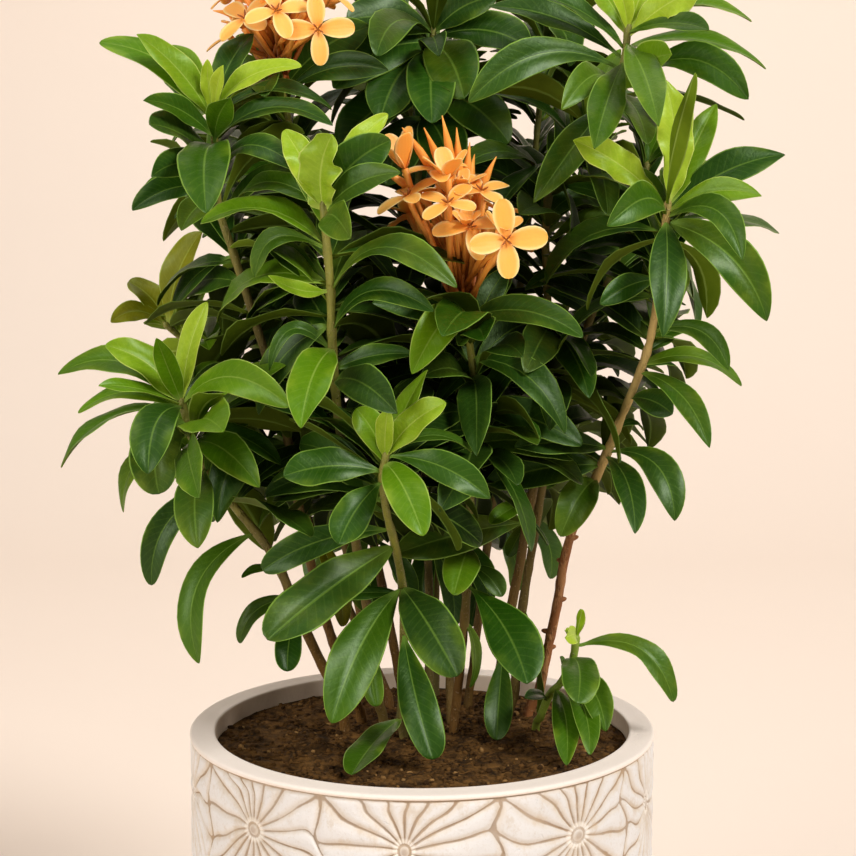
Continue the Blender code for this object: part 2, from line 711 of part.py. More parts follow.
def flower_pieces(root, core_way, row):
    """One open flower: a slim tube out of the head's core and four petals."""
    x, z, near, turned, length, spin = row
    centre = seen(x, z, near)
    start = root + core_way * CORE_LENGTH * 0.5
    outward = (centre - start).normalized()
    to_view = (VIEWPOINT - centre).normalized()
    axis = outward.lerp(to_view, turned).normalized()
    mouth = centre + axis * 1.2 * MM
    pieces = [tube([start, centre, mouth], [TUBE_RADIUS * 0.8, TUBE_RADIUS, TUBE_RADIUS], 3)]
    level = Vector((1.0, 0.0, 0.0))
    across = (level - axis * level.dot(axis)).normalized()
    other = axis.cross(across)
    for k in range(4):
        turn = math.radians(spin + 90 * k)
        way = (across * math.cos(turn) + other * math.sin(turn) + axis * 0.18).normalized()
        pieces.append(petal(centre + axis * 0.3 * MM, way, axis, length * MM, turned > 0.4))
    return pieces


def petal(root, way, axis, length, broad):
    """A petal with a thicker middle above and below: with a blunt end, or pointed on the smaller flowers."""
    side = way.cross(axis).normalized()
    face = side.cross(way)
    outline = BROAD_PETAL if broad else POINTED_PETAL
    points = [root + way * (length * a) + side * (length * b) for a, b in outline]
    middle = root + way * (length * 0.58)
    points += [middle + face * (PETAL_THICKNESS / 2), middle - face * (PETAL_THICKNESS / 2)]
    corners = len(outline)
    faces = [(k, (k + 1) % corners, corners) for k in range(corners)]
    faces += [((k + 1) % corners, k, corners + 1) for k in range(corners)]
    return points, faces


def bud(root, core_way, row):
    """A closed bud: a slim tube that swells and ends in a point."""
    tip = seen(*row)
    start = root + core_way * CORE_LENGTH * 0.5
    way = tip - start
    centres = [start, start + way * 0.6, start + way * 0.8]
    points, faces = tube(centres, [TUBE_RADIUS * 0.7, TUBE_RADIUS * 0.8, TUBE_RADIUS * 1.6], 3, True)
    points[-1] = tip
    return points, faces


def head_parts(stem, row):
    """The core and the pieces of a head that stands on its stem's tip."""
    way = stem.direction()
    root = stem.tip() + way * GAP
    middle = sum((seen(*f[:3]) for f in row["flowers"]), Vector()) / len(row["flowers"])
    core_way = (middle - root).normalized()
    centres = [root, root + way * 3 * MM, root + way * 3 * MM + core_way * CORE_LENGTH * 0.6]
    centres.append(centres[-1] + core_way * CORE_LENGTH * 0.4)
    core = tube(centres, [1.6 * MM, 2.2 * MM, CORE_RADIUS, CORE_RADIUS * 0.6], 7)
    pieces = []
    for flower in row["flowers"]:
        pieces += flower_pieces(root, core_way, flower)
    pieces += [bud(root, core_way, tip) for tip in row["buds"]]
    return core, pieces


def cell_ends():
    """The outer ends of one carved flower's grooves, and half the height of its straight sides. The
    flowers fill six-sided cells, and the grooves end on their corners and at even steps between."""
    pitch = 2 * math.pi * POT_RADIUS / FLOWERS_AROUND
    side = (ROW_SPACING ** 2 - pitch ** 2 / 4) / (2 * ROW_SPACING)
    point = (ROW_SPACING ** 2 + pitch ** 2 / 4) / (2 * ROW_SPACING)
    half = pitch / 2
    corners = [(half, -side), (half, side), (0, point), (-half, side), (-half, -side), (0, -point)]
    ends = []
    for i, (x0, z0) in enumerate(corners):
        x1, z1 = corners[(i + 1) % 6]
        for k in range(PETALS_PER_EDGE):
            share = k / PETALS_PER_EDGE
            ends.append((x0 + (x1 - x0) * share, z0 + (z1 - z0) * share))
    return ends, side


def clipped(end, side, up):
    """A groove's end brought back to the level edge of the carving, above or below the flower."""
    x, z = end
    if z * up <= side * 1.0001:
        return end
    return (x * side / (z * up), side * up)


def make_pot():
    mesh = bmesh.new()
    found = {}

    def vertex(around, height, radius):
        """The shared vertex at this distance round the wall, this height and this radius."""
        turn = round(around / POT_RADIUS % (2 * math.pi), 6) % round(2 * math.pi, 6)
        key = (turn, round(height, 6), round(radius, 6))
        if key not in found:
            angle = turn + PATTERN_TURN
            angle += PATTERN_SWELL * math.sin(2 * angle) - math.pi / 2
            spot = (radius * math.cos(angle), radius * math.sin(angle), height)
            found[key] = mesh.verts.new(spot)
        return found[key]

    ends, side = cell_ends()
    pitch = 2 * math.pi * POT_RADIUS / FLOWERS_AROUND
    low_edge = TOP_ROW_HEIGHT - ROW_SPACING * (FLOWER_ROWS - 1) - side
    high_edge = TOP_ROW_HEIGHT + side
    groove = POT_RADIUS - GROOVE_DEPTH
    for row in range(FLOWER_ROWS):
        outline = list(ends)
        if row == 0:
            outline = [clipped(end, side, 1) for end in outline]
        if row == FLOWER_ROWS - 1:
            outline = [clipped(end, side, -1) for end in outline]
        height = TOP_ROW_HEIGHT - row * ROW_SPACING
        for number in range(FLOWERS_AROUND):
            middle = pitch * (number + 0.5 * (row % 2))
            centre = vertex(middle, height, POT_RADIUS - BUTTON_DEPTH)
            rim = [vertex(middle + x, height + z, groove) for x, z in outline]
            for k, (x0, z0) in enumerate(outline):
                x1, z1 = outline[(k + 1) % len(outline)]
                across, up = (x0 + x1) / 2 * PETAL_CREST, (z0 + z1) / 2 * PETAL_CREST
                crest = vertex(middle + across, height + up, POT_RADIUS)
                after = rim[(k + 1) % len(rim)]
                mesh.faces.new((centre, rim[k], crest))
                mesh.faces.new((centre, crest, after))
                mesh.faces.new((crest, rim[k], after))

    def ring(edge_height, profile, above):
        """Turned bands on from a level edge of the carving, along a profile of (radius, height)."""
        start = sorted((v for key, v in found.items() if abs(key[1] - edge_height) < 1e-5),
                       key=lambda v: math.atan2(v.co.y, v.co.x))
        last = start
        for radius, height in profile:
            after = [mesh.verts.new((v.co.x / math.hypot(v.co.x, v.co.y) * radius,
                                     v.co.y / math.hypot(v.co.x, v.co.y) * radius, height)) for v in start]
            for k in range(len(last)):
                nxt = (k + 1) % len(last)
                quad = (last[k], last[nxt], after[nxt], after[k])
                mesh.faces.new(quad if above else tuple(reversed(quad)))
            last = after
        hub = mesh.verts.new((0.0, 0.0, profile[-1][1]))
        for k in range(len(last)):
            edge = (last[k], last[(k + 1) % len(last)], hub)
            mesh.faces.new(edge if above else tuple(reversed(edge)))

    ring(high_edge, [(POT_RADIUS, SHOULDER_HEIGHT), (RIM_FLAT_RADIUS, POT_HEIGHT),
                     (POT_INNER_RADIUS, POT_HEIGHT), (POT_INNER_RADIUS, POT_FLOOR)], True)
    ring(low_edge, [(POT_RADIUS, low_edge - 1.2 * MM), (POT_RADIUS, FOOT_BEVEL),
                    (POT_RADIUS - FOOT_INSET, 0.0)], False)
    bmesh.ops.triangulate(mesh, faces=mesh.faces[:])
    pot = new_object("pot", [], [])
    mesh.to_mesh(pot.data)
    mesh.free()
    smooth(pot, 30)
    pot.data.materials.append(material("whitewashed_stone", (0.72, 0.64, 0.53), 0.75))
    return pot


def make_soil(stems):
    """A plug of soil with an uneven top, and a plain hole for each stem."""
    draw = random.Random("soil")
    mesh = bmesh.new()
    bottom = POT_FLOOR + GAP
    rings = [(30 * MM, 16), (60 * MM, 32), (SOIL_RADIUS, 32)]
    hub = mesh.verts.new((0.0, 0.0, SOIL_LEVEL))
    last = None
    for radius, count in rings:
        turns = [2 * math.pi * k / count for k in range(count)]
        after = [mesh.verts.new((radius * math.cos(t), radius * math.sin(t),
                                 SOIL_LEVEL + draw.uniform(-1, 1) * SOIL_ROUGHNESS)) for t in turns]
        for k in range(count):
            nxt = (k + 1) % count
            if last is None:
                mesh.faces.new((hub, after[k], after[nxt]))
            elif len(last) == count:
                mesh.faces.new((last[k], after[k], after[nxt], last[nxt]))
            elif k % 2 == 0:
                mesh.faces.new((last[k // 2], after[k], after[nxt]))
            else:
                mesh.faces.new((last[k // 2], after[k], after[nxt], last[(k // 2 + 1) % len(last)]))
        last = after
    foot = [mesh.verts.new((v.co.x, v.co.y, bottom)) for v in last]
    for k in range(len(last)):
        nxt = (k + 1) % len(last)
        mesh.faces.new((last[k], foot[k], foot[nxt], last[nxt]))
    mesh.faces.new(tuple(reversed(foot)))
    bmesh.ops.triangulate(mesh, faces=mesh.faces[:])
    soil = new_object("soil", [], [])
    mesh.to_mesh(soil.data)
    mesh.free()
    cutters = []
    for stem in stems.values():
        top = Vector((stem.centres[0].x, stem.centres[0].y, SOIL_LEVEL + 5 * MM))
        low = Vector((top.x, top.y, SOIL_LEVEL - HOLE_DEPTH))
        cutters.append(tube([low, top], [stem.base_radius + HOLE_CLEARANCE] * 2, STEM_SIDES))
    combine(soil, cutters, "DIFFERENCE")
    soil.data.materials.append(material("potting_soil", (0.035, 0.018, 0.01), 0.95))
    return soil


def make_plant():
    stems = {name: Stem(row) for name, row in SHOOTS.items()}
    bearers = {row["stem"] for row in HEADS.values()}
    tubes = {name: tube(stem.centres, stem.radii, STEM_SIDES, name not in bearers)
             for name, stem in stems.items()}
    heads = {name: head_parts(stems[row["stem"]], row) for name, row in HEADS.items()}
    placed = []
    for name, stem in stems.items():
        grown = tube(stem.centres, [r + ROOM for r in stem.radii], STEM_SIDES, name not in bearers)
        placed.append(Solid(name, grown))
    for name, (core, pieces) in heads.items():
        placed += [Solid(name, piece) for piece in [core, *pieces]]
    leaves = {}
    for name, row in SHOOTS.items():
        leaves[name] = place_hand_leaves(name, stems[name], row["leaves"], placed)
    for name, row in SHOOTS.items():
        draw = random.Random(name)
        leaves[name] += place_pairs(name, stems[name], row["pairs"], placed, draw)
    for name, row in SHOOTS.items():
        body = new_object(name, *tubes[name])
        combine(body, [leaf.mesh() for leaf in leaves[name]], "UNION")
        smooth(body)
        green = Vector(MATURE_GREEN).lerp(Vector(YOUNG_GREEN), row["young"])
        body.data.materials.append(material(name + "_green", green, 0.35))
    for name, (core, pieces) in heads.items():
        body = new_object(name, *core)
        combine(body, pieces, "UNION")
        smooth(body)
        body.data.materials.append(material(name + "_orange", PETAL_ORANGE, 0.5))
    return stems


def main():
    for obj in list(bpy.data.objects):
        bpy.data.objects.remove(obj)
    make_pot()
    stems = make_plant()
    make_soil(stems)


main()
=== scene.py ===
"""Potted ixora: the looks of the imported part.

Metres, +Z up, and the front looks along -Y. The plant's layout is the one of the solids: the same stems,
the same leaves on the same centre lines, and the same flowers. Each surface here is finer, and more leaves
fill the bush.

Each function gives its formula in words.
"""

import itertools
import math
import random

import bpy
import numpy as np
from mathutils import Matrix, Vector
from mathutils.bvhtree import BVHTree


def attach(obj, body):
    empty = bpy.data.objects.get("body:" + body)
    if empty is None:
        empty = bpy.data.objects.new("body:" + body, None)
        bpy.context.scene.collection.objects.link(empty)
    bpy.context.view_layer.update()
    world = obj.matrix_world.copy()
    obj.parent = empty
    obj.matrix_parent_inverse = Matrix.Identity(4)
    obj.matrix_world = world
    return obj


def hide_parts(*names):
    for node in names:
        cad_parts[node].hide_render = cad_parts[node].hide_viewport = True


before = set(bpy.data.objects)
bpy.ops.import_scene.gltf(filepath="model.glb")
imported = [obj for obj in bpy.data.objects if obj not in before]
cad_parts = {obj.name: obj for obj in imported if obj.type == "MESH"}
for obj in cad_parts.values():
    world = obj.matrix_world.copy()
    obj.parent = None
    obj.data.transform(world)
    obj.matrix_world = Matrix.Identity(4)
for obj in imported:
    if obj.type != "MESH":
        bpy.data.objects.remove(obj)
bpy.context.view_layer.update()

MM = 0.001
GAP = 0.3 * MM

# Pot and soil
POT_RADIUS = 100 * MM
POT_HEIGHT = 179 * MM
POT_INNER_RADIUS = 89 * MM
POT_FLOOR = 14 * MM
GIRTH = 2 * math.pi * POT_RADIUS
SOIL_LEVEL = 171.4 * MM
SOIL_RADIUS = 88.7 * MM
SOIL_ROUGHNESS = 0.6 * MM
HOLE_DEPTH = 28 * MM

# Rows of carved flowers, with three petals to an edge of each six-sided cell
FLOWERS_AROUND = 10
FLOWER_ROWS = 3
PETALS_PER_EDGE = 3
ROW_SPACING = 60 * MM
TOP_ROW_HEIGHT = 155 * MM
PATTERN_TURN = math.radians(-2.5)
PATTERN_SWELL = math.radians(5)

# Depth of the carving, the shares of it that a groove and the wide hollow along it take, and their reach
CARVING_DEPTH = 1.2 * MM
GROOVE_SHARE = 0.7
GROOVE_REACH = 1.275 * MM
HOLLOW_SHARE = 0.5
HOLLOW_REACH = 5.5 * MM

# A carved flower's points stand on rings: first at these distances from its eye in millimetres, then at
# these shares of the way on to its cell's rim. Across a petal they stand at these shares of its width.
EYE_RINGS = (0.9, 1.7, 2.2, 2.8, 3.5, 4.4, 5.6)
PETAL_RINGS = (0.12, 0.25, 0.38, 0.5, 0.61, 0.71, 0.8, 0.87, 0.93, 0.97, 1.0)
PETAL_POINTS = (0, 0.1, 0.26, 0.5, 0.74, 0.9)

# The ring round the eye, and how far out the grooves between petals start to thin towards it
EYE_RADIUS = 2.5 * MM
EYE_REACH = 4 * MM

# Share of the way to the rim where a petal ends: in its middle, how much less at its corners, and cut off
PETAL_END = 0.998
PETAL_ROUNDING = 0.035
CUT_OFF_END = 0.99

# Swings of the net round and up the pot, as (millimetres, waves round the pot, millimetres up it for each
# radian, start), calm near the band's edges, and one more along the cells' rims
SWINGS_ROUND = ((2.3, 5, 15, 0), (1.1, 16, -9, 1))
SWINGS_UP = ((2.1, 9, 14, 2), (1.0, 19, math.inf, 3))
CALM_REACH = 9 * MM
BORDER_SWING = 2.6
BORDER_WAVE = 29 * MM
BORDER_WAVES = 27

# Profiles of the plain rim with the inner wall and of the plain foot, as (radius, height, distance to a
# groove) in millimetres, and marks that tell the material whether a plain point is inside
RIM_PROFILE = (
    (99.3, 176.95, 0.8), (99.75, 177.2, 1.2), (100.0, 177.7, 4), (99.9, 178.4, 6), (99.4, 178.9, 6),
    (98.6, 179.05, 6), (94.5, 178.9, 6), (91.0, 178.95, 6), (90.2, 179.1, 6), (89.5, 179.0, 6),
    (89.1, 178.6, 6), (89.0, 178.0, 6), (89.0, 165.0, 6), (89.0, 14.0, 6),
)
FOOT_PROFILE = (
    (99.4, 12.8, 0.7), (99.9, 12.2, 2), (100.0, 11.0, 5), (100.0, 2.4, 6), (99.6, 1.0, 6), (98.6, 0.0, 6),
)
INSIDE_RADIUS = 89.1
INSIDE_MARK = 60
OUTSIDE_MARK = 30

# Soil: points of its top, loose crumbs and fibres
SOIL_AROUND = 260
SOIL_RINGS = 64
SOIL_SEED = 7
CRUMBS = 2800
FIBRES = 260

# Leaves, as in the solids. A leaf is set out of its stem's centre line by a share of the radius at the tip.
BLADE_THICKNESS = 0.9 * MM
BLADE_FOLD = 0.2
BLADE_START = 0.24
ROOM = 0.4 * MM
SET_OUT = 0.4
WIDTH_TO_LENGTH = 0.24
DEPTH_TRIES = (0, 6, -6, 12, -12, 18, -18, 26, -26, 36, -36)
TURN_TRIES = (0, 18, -18)
DRAWS_PER_LEAF = 16
SHORT_LEAF = 38 * MM
LONG_SECTIONS = ((0.26, 0.55), (0.55, 1.0), (0.82, 0.74))
SHORT_SECTIONS = ((0.34, 0.78), (0.72, 0.92))
STEM_SIDES = 5

# Habits of leaves grown by the rule: most roll in degrees, and their width, or its range, and the range of
# their arch in leaf lengths
PAIR_HABIT = (30, (0.29,), (0.1, 0.18))
FILLER_HABIT = (50, (0.28, 0.38), (0.06, 0.22))

# Leaves that only show here: rounds of further pairs on each stem, and tries for broad single leaves
FILLING_ROUNDS = 2
FILLER_TRIES = 150

# Flower heads, as in the solids
TUBE_RADIUS = 1.1 * MM
BROAD_PETAL = ((0.0, 0.0), (0.6, 0.32), (0.96, 0.15), (0.96, -0.15), (0.6, -0.32))
POINTED_PETAL = ((0.0, 0.0), (0.62, 0.31), (1.0, 0.0), (0.62, -0.31))
PETAL_THICKNESS = 0.8 * MM
CORE_LENGTH = 16 * MM
CORE_RADIUS = 5.5 * MM

# Finer leaves
STALK = 0.75 * MM
STALK_REACH = 0.3
LEAF_THICKNESS = 0.45 * MM
RIB_HEIGHT = 0.7 * MM
RIB_WIDTH = 0.8 * MM
BULGE = 0.07

# Ranges of each leaf's own form: bend of its tip and swing to the side in leaf lengths, twist in radians,
# widest place, exponent, height of its margin's wave in half widths, number of waves, and share of the fold
LEAF_BEND = (-0.07, 0.03)
LEAF_SWING = (-0.07, 0.07)
LEAF_TWIST = (-0.5, 0.5)
LEAF_WIDEST = (0.5, 0.66)
LEAF_POINT = (0.62, 1.0)
WAVE_HEIGHT = (0.05, 0.14)
WAVES = (1.3, 2.4)
LEAF_FOLD = (0.6, 1.5)

# Leaves below this height are blunter, and fully so this much lower. A broad leaf is blunter too.
LOW_FROM = 310 * MM
LOW_RANGE = 50 * MM
BLUNTNESS = 0.28
BLUNTEST = 0.45

# Crumpled young leaves: height of the folds in half widths, and how many there are
CRUMPLE = 0.27
CRUMPLES = 3.6

# Finer stems and flower heads
STEM_RING_STEP = 4 * MM
STEM_SWELL = 1.12
STEM_ROUND = 10
PETAL_WIDEST = 0.62
PACKED_TUBES = 70
HALF_OPEN = 9

# Painted shade on leaves grown by the rule, about the bush's middle: none on a leaf this far out, darkest on
# one this much further in
OUTER_REACH = 95 * MM
SHADE_RANGE = 45 * MM
BUSH_MIDDLE = (0.0, 15 * MM, 400 * MM)

# Stems whose own leaves have turned yellowish, rows of crumpled young leaves, and stems that show bare in
# front of the bush
YELLOWED = ("stem_left_back",)
CRUMPLED = {"stem_east": (0, 1), "stem_centre_tall": (0, 1, 3)}
BARE_IN_FRONT = ("stem_east", "stem_centre_tall", "stem_front_low", "stem_north_west")

# Green tint of the leaves' sheen
LEAF_SHEEN = (0.62, 0.95, 0.38, 1.0)

# Studio, in metres, and its lights as (name, place, target, size, power, colour)
FLOOR_FRONT = -2.5
WALL_FOOT = 1.2
WALL_BEND = 0.8
WALL_HEIGHT = 3.6
STUDIO_HALF_WIDTH = 3.5
WORLD_STRENGTH = 0.22
LIGHTS = (
    ("key_light", (2.0, -1.7, 2.5), (0, 0, 0.3), 1.2, 102, (1.0, 0.99, 0.98)),
    ("top_light", (-0.5, -0.3, 1.9), (0, 0, 0.35), 0.9, 5.5, (1.0, 0.97, 0.93)),
    ("wall_light", (0, 0.75, 1.5), (0, 2.0, 0.35), 1.2, 6.5, (1.0, 0.98, 0.95)),
    ("fill_light", (-1.2, -1.1, 0.8), (0, 0, 0.3), 1.0, 15, (1.0, 0.97, 0.94)),
)

# The camera, tilted down in degrees. The plant is laid out as it is seen from the viewpoint.
LENS = 92.5
SENSOR = 36
LOOKING_DOWN = 8.3
VIEWPOINT = Vector((0.0026, -0.9236, 0.4436))

# Stems, in millimetres: foot, radius at the foot and the tip, and route of (x, z, near) as seen. The pairs
# are (number, height of the lowest, of the highest, 1 to grow to the rear only). A leaf is (height on
# the stem, x, z and near of its tip, seen width, rise of its arch, tone), and tones go from 0, old and
# dark, to 100, young and yellow-green. Bark is how far up a stem is woody, and how red.
SHOOTS = {
    "stem_east": dict(
        foot=(48, 44), radius=(2.3, 1.2), pairs=(4, 318, 388, 1), young=0.3, bark=0.95, route=[
        (50, 192, -42), (54, 212, -38), (58, 232, -33), (61, 252, -27), (66, 270, -20), (73, 285, -13),
        (79, 299, -6), (84, 312, 0), (90, 327, 8), (96, 345, 16), (99, 365, 24), (101, 385, 30),
        (103, 404, 34),
        ], leaves=[
        (401, 63, 431, 44, 13, 3, 85), (402, 104, 455.5, 30, 15, 3, 80), (402, 122, 446, 14, 12, 2, 60),
        (402, 115, 457, 52, 9, -6, 50), (400, 151.5, 426.5, 30, 15, 4, 20), (400, 142, 407, 54, 10, 5, 60),
        (399, 79, 395, 70, 14, 9, 35), (397, 98.8, 348.6, 66, 15, 4, 10), (398, 136.5, 381, 62, 12, 12, 30),
        (396, 147, 354.7, 46, 17, 8, 25), (397, 152.3, 392, 6, 5, 3, 30), (386, 108, 358.5, 2, 9, 5, 40),
        (372, 74, 364, 44, 10, 2, 10), (350, 131, 334, 32, 9, 9, 30), (341, 107, 347, 6, 4, 1, 30),
        (336, 134.8, 325.8, 16, 8, 8, 35), (333, 119.5, 300, 42, 9, 7, 25), (322, 106, 315, 26, 12, 2, 10),
        (309, 95, 308, -14, 3, 3, 10), (299, 109, 269, 22, 14, 11, 25), (297, 91.5, 264, 40, 12, 6, 20),
        (300, 40, 298, 24, 13, 3, 15), (293, 27, 283, 2, 17, 3, 10), (287, 59, 262, 10, 15, 6, 30),
        ], knobs=[
        (57.6, 252, -28), (67, 262, -25), (62.2, 235, -33), (57.8, 214, -38), (51.2, 221, -37),
    ]),
    "stem_north_east": dict(
        foot=(30, 28), radius=(2.2, 1.2), pairs=(5, 300, 430, 1), young=0.4, bark=0.45, route=[
        (31, 187, -26), (34, 206, -24), (38, 230, -22), (42, 250, -20), (45, 270, -18), (49, 290, -16),
        (53, 312, -14), (54, 335, -14), (53, 362, -16), (52, 390, -18), (54, 412, -18), (62, 428, -14),
        (74, 440, -8), (81, 451, -5), (84, 463, -2), (85.3, 477, 0.5),
        ], leaves=[
        (459, 17.5, 446.7, 26, 15, 13, 15), (450, 57, 445, 42, 9, 10, 35), (463, 28, 486, 2, 13, 5, 12),
        (467, 48, 488, 16, 9, 4, 25), (452, 104.5, 468, 44, 15, 3, 60), (472, 117, 493, 24, 17, 3, 85),
        (474, 79, 497, 14, 9, 2, 100), (475, 138, 483, 2, 7, 7, 60), (474, 118, 476, 34, 7, 3, 30),
        (468, 145, 463.5, 14, 9, 6, 50), (451, 136.5, 449, 38, 13, 14, 30), (449, 94, 431, 48, 8, 4, 12),
        (453, 135.5, 440, -8, 5, 2, 20), (474, 96, 501, -4, 12, 2, 95), (473, 66, 498, -10, 10, 2, 70),
        (268, -8, 251, 24, 17, 3, 15), (270, 38, 252, -34, 7, 2, 20), (277, 30, 267, 4, 8, 2, 40),
        (352, 69.5, 322, 22, 15, 4, 15), (339, 5, 313, 18, 8, 12, 20), (405, 36, 391, -30, 10, 5, 15),
        (398, 74, 402, -26, 10, 6, 15), (212, 29.5, 173.5, 8, 12, 2, 20),
    ]),
    "stem_right_back": dict(
        foot=(39, 41), radius=(2.1, 1.1), pairs=(7, 285, 416, 1), young=0.1, bark=0.6, route=[
        (40, 192, -40), (41, 212, -38), (44, 237, -35), (48, 262, -32), (52, 288, -30), (56, 310, -28),
        (60, 328, -26), (67, 344, -25), (72, 358, -26), (78, 371, -28), (84, 385, -32), (90, 402, -38),
        (94, 420, -42),
        ], leaves=[
        (384, 61, 383, -16, 10, 3, 10), (366, 45, 367, -2, 6, 8, 20), (357, 52, 366, -12, 8, 2, 20),
        (343, 79, 339.5, -12, 5, 2, 20), (420, 118, 424, -20, 11, 7, 35), (420, 112, 447, -44, 11, 3, 50),
        (232, 50, 184, -34, 6, 3, 20),
    ]),
    "stem_middle_bloom": dict(
        foot=(14, 14), radius=(2.0, 1.3), pairs=(3, 285, 345, 1), young=0.1, bark=0.2, route=[
        (15, 190, -12), (17, 210, -8), (19, 235, -4), (20, 260, 0), (21, 285, 4), (22, 305, 8),
        (22, 328, 13), (20, 346, 19), (17.5, 361, 25),
        ], leaves=[
        (355, 69.5, 352, 58, 13, 6, 20), (355, -5, 333, 64, 15, 11, 55), (350, 15, 344, 40, 5, 1, 30),
        (241, 48, 198, 40, 22, 4, 15), (257, 12, 238, 44, 15, 4, 40), (250, 35, 236, 6, 9, 2, 12),
        (318, 36, 306, -14, 12, 3, 35), (226, 22.5, 195, -6, 6, 3, 25),
    ]),
    "stem_centre_tall": dict(
        foot=(-17, 24), radius=(2.1, 1.4), pairs=(5, 285, 392, 1), young=0.4, bark=0.3, route=[
        (-19, 190, -20), (-21, 212, -12), (-25, 240, -2), (-30, 270, 12), (-34, 300, 26), (-37, 330, 40),
        (-38, 350, 46), (-38.5, 370, 51), (-40, 388, 55), (-41, 404, 57),
        ], leaves=[
        (400, -38, 433, 70, 17, 3, 75), (402, -58, 434, 58, 12, 3, 85), (402, -13, 430, 62, 17, 4, 15),
        (403, -13, 440, 44, 9, 4, 85), (400, -9, 417, 76, 12, 4, 25), (398, -29, 390.5, 92, 14, 4, 30),
        (402, -78, 403, 26, 8, 10, 35), (385, -70, 372, 46, 9, 12, 35), (367, -64, 375, 70, 7, -3, 65),
        (367, 14, 367.5, 74, 9, 18, 25), (350, 6, 359.5, 68, 7, 13, 20), (334, -4, 342, 48, 9, 2, 15),
        (329, -12, 313, 78, 15, 7, 20), (342, -64, 333, 50, 6, 14, 25), (343, -51, 308, 88, 17, 6, 50),
        (216, -20.5, 187, 6, 9, 2, 35),
    ]),
    "stem_front_low": dict(
        foot=(-8, 6), radius=(2.0, 1.2), pairs=(1, 280, 290, 1), young=0.15, bark=0.15, route=[
        (-9, 182, -2), (-8, 205, 6), (-8, 235, 18), (-11, 256, 36), (-15, 272, 48), (-17, 287, 56),
        (-15, 298, 60),
        ], leaves=[
        (293, -27, 318, 62, 12, 2, 55), (296, 10, 320, 70, 13, 3, 75), (296, 3, 334, 52, 7, 2, 60),
        (295, -14, 316, 72, 8, 1, 80), (294, 0, 262, 92, 15, 6, 50), (297, 30, 279, 72, 13, 5, 25),
        (297, 22, 299, 52, 4, 8, 30), (290, -59.5, 290, 68, 16, 3, 25), (286, -36, 259, 78, 15, 3, 20),
        (265, -70, 249.5, 50, 12, 4, 15), (258, -64.5, 214, 78, 21, 3, 15), (240, -43, 181, 66, 20, 5, 30),
        (240, 12, 200, 64, 20, 5, 20), (220, 1, 163, 48, 16, 3, 20), (237, -38, 236, 34, 5, 1, 20),
        (171, -33, 155, 40, 8, 2, 35),
    ]),
    "stem_north_west": dict(
        foot=(-27, 30), radius=(2.2, 1.2), pairs=(5, 290, 410, 1), young=0.25, bark=0.6, route=[
        (-29, 190, -26), (-37, 212, -22), (-44, 235, -18), (-50, 262, -12), (-55, 290, -6), (-60, 320, 2),
        (-69, 350, 8), (-75, 370, 12), (-80, 386, 15), (-85, 402, 18), (-86, 420, 20), (-86.5, 442, 22),
        ], leaves=[
        (438, -133, 470.5, 18, 14, 8, 50), (437, -119, 472, 36, 13, 4, 65),
        (440, -106.6, 456.5, -6, 10, 2, 15), (431, -116.5, 447, 50, 10, 4, 30),
        (420, -113.7, 435.7, 48, 17, 4, 15), (428, -86, 399, 78, 20, 9, 30),
        (417, -113.9, 417, 56, 13, 4, 15), (413, -117, 410.5, 4, 8, 2, 40),
        (410, -119.4, 399.3, 34, 12, 5, 15), (405, -101.6, 393.6, 52, 11, 3, 15),
        (442, -50.5, 458, 44, 9, 6, 95), (441, -89, 463, 30, 6, 1, 100), (441, -82, 460, 40, 6, 1, 100),
        (428, -83, 447, 58, 11, 2, 40), (441, -103, 468.5, 4, 9, 6, 60), (440, -36, 444, 14, 7, 9, 20),
        (430, -36, 437, 28, 7, 10, 20), (415, -52, 414, 54, 10, 13, 20), (442, -72, 476, 8, 13, 2, 20),
        (319, -89, 290, 18, 11, 8, 30), (302, -89, 268, 30, 16, 12, 12), (382, -105, 360, -10, 9, 4, 15),
    ]),
    "stem_west": dict(
        foot=(-34, 16), radius=(2.3, 1.2), pairs=(2, 285, 308, 1), young=0.4, bark=0.5, route=[
        (-37, 192, -12), (-46, 212, -4), (-54, 230, 2), (-60, 246, 7), (-68, 260, 11), (-80, 275, 15),
        (-92, 291, 20), (-98, 306, 24), (-102, 321, 27),
        ], leaves=[
        (320, -133.5, 345, 32, 15, 4, 70), (320, -154, 330, 10, 9, 12, 40), (319, -136, 327, 46, 6, 2, 55),
        (316, -144, 313, 26, 8, 9, 55), (320, -91, 362, 34, 10, 2, 80), (320, -113, 346, 50, 9, 2, 55),
        (320, -70, 331, 2, 10, 6, 15), (319, -54, 320, 64, 14, 12, 50), (317, -156, 293, 38, 9, 9, 40),
        (318, -115, 290, 66, 17, 9, 15), (312, -113, 280, 46, 20, 9, 20), (306, -131, 273, 18, 9, 9, 35),
        (291, -94, 258, 60, 16, 8, 25), (289, -89, 268, 38, 8, 4, 12), (283, -116, 240, 30, 12, 10, 15),
        (264, -99, 205, 34, 10, 14, 35), (246, -77, 244, 18, 4, 3, 30), (235, -79, 215, 6, 8, 6, 12),
        (228, -57.5, 203, 24, 11, 3, 12),
    ]),
    "stem_left_back": dict(
        foot=(-15, 53), radius=(1.9, 1.1), pairs=(6, 275, 345, 0), young=0.5, bark=0.4, route=[
        (-17, 198, -52), (-31, 230, -50), (-48, 268, -46), (-66, 303, -42), (-84, 330, -36), (-98, 344, -30),
        (-108, 353, -24),
        ], leaves=[
        (352, -92, 391, -14, 15, 4, 60), (352, -124, 370, -30, 12, 3, 60), (353, -132, 355, -14, 9, 5, 45),
    ]),
    "stem_left_bloom": dict(
        foot=(-7, 40), radius=(2.0, 1.3), pairs=(6, 305, 440, 0), young=0.2, bark=0.4, route=[
        (-9, 196, -38), (-15, 230, -38), (-23, 270, -38), (-32, 310, -36), (-40, 350, -34), (-47, 390, -30),
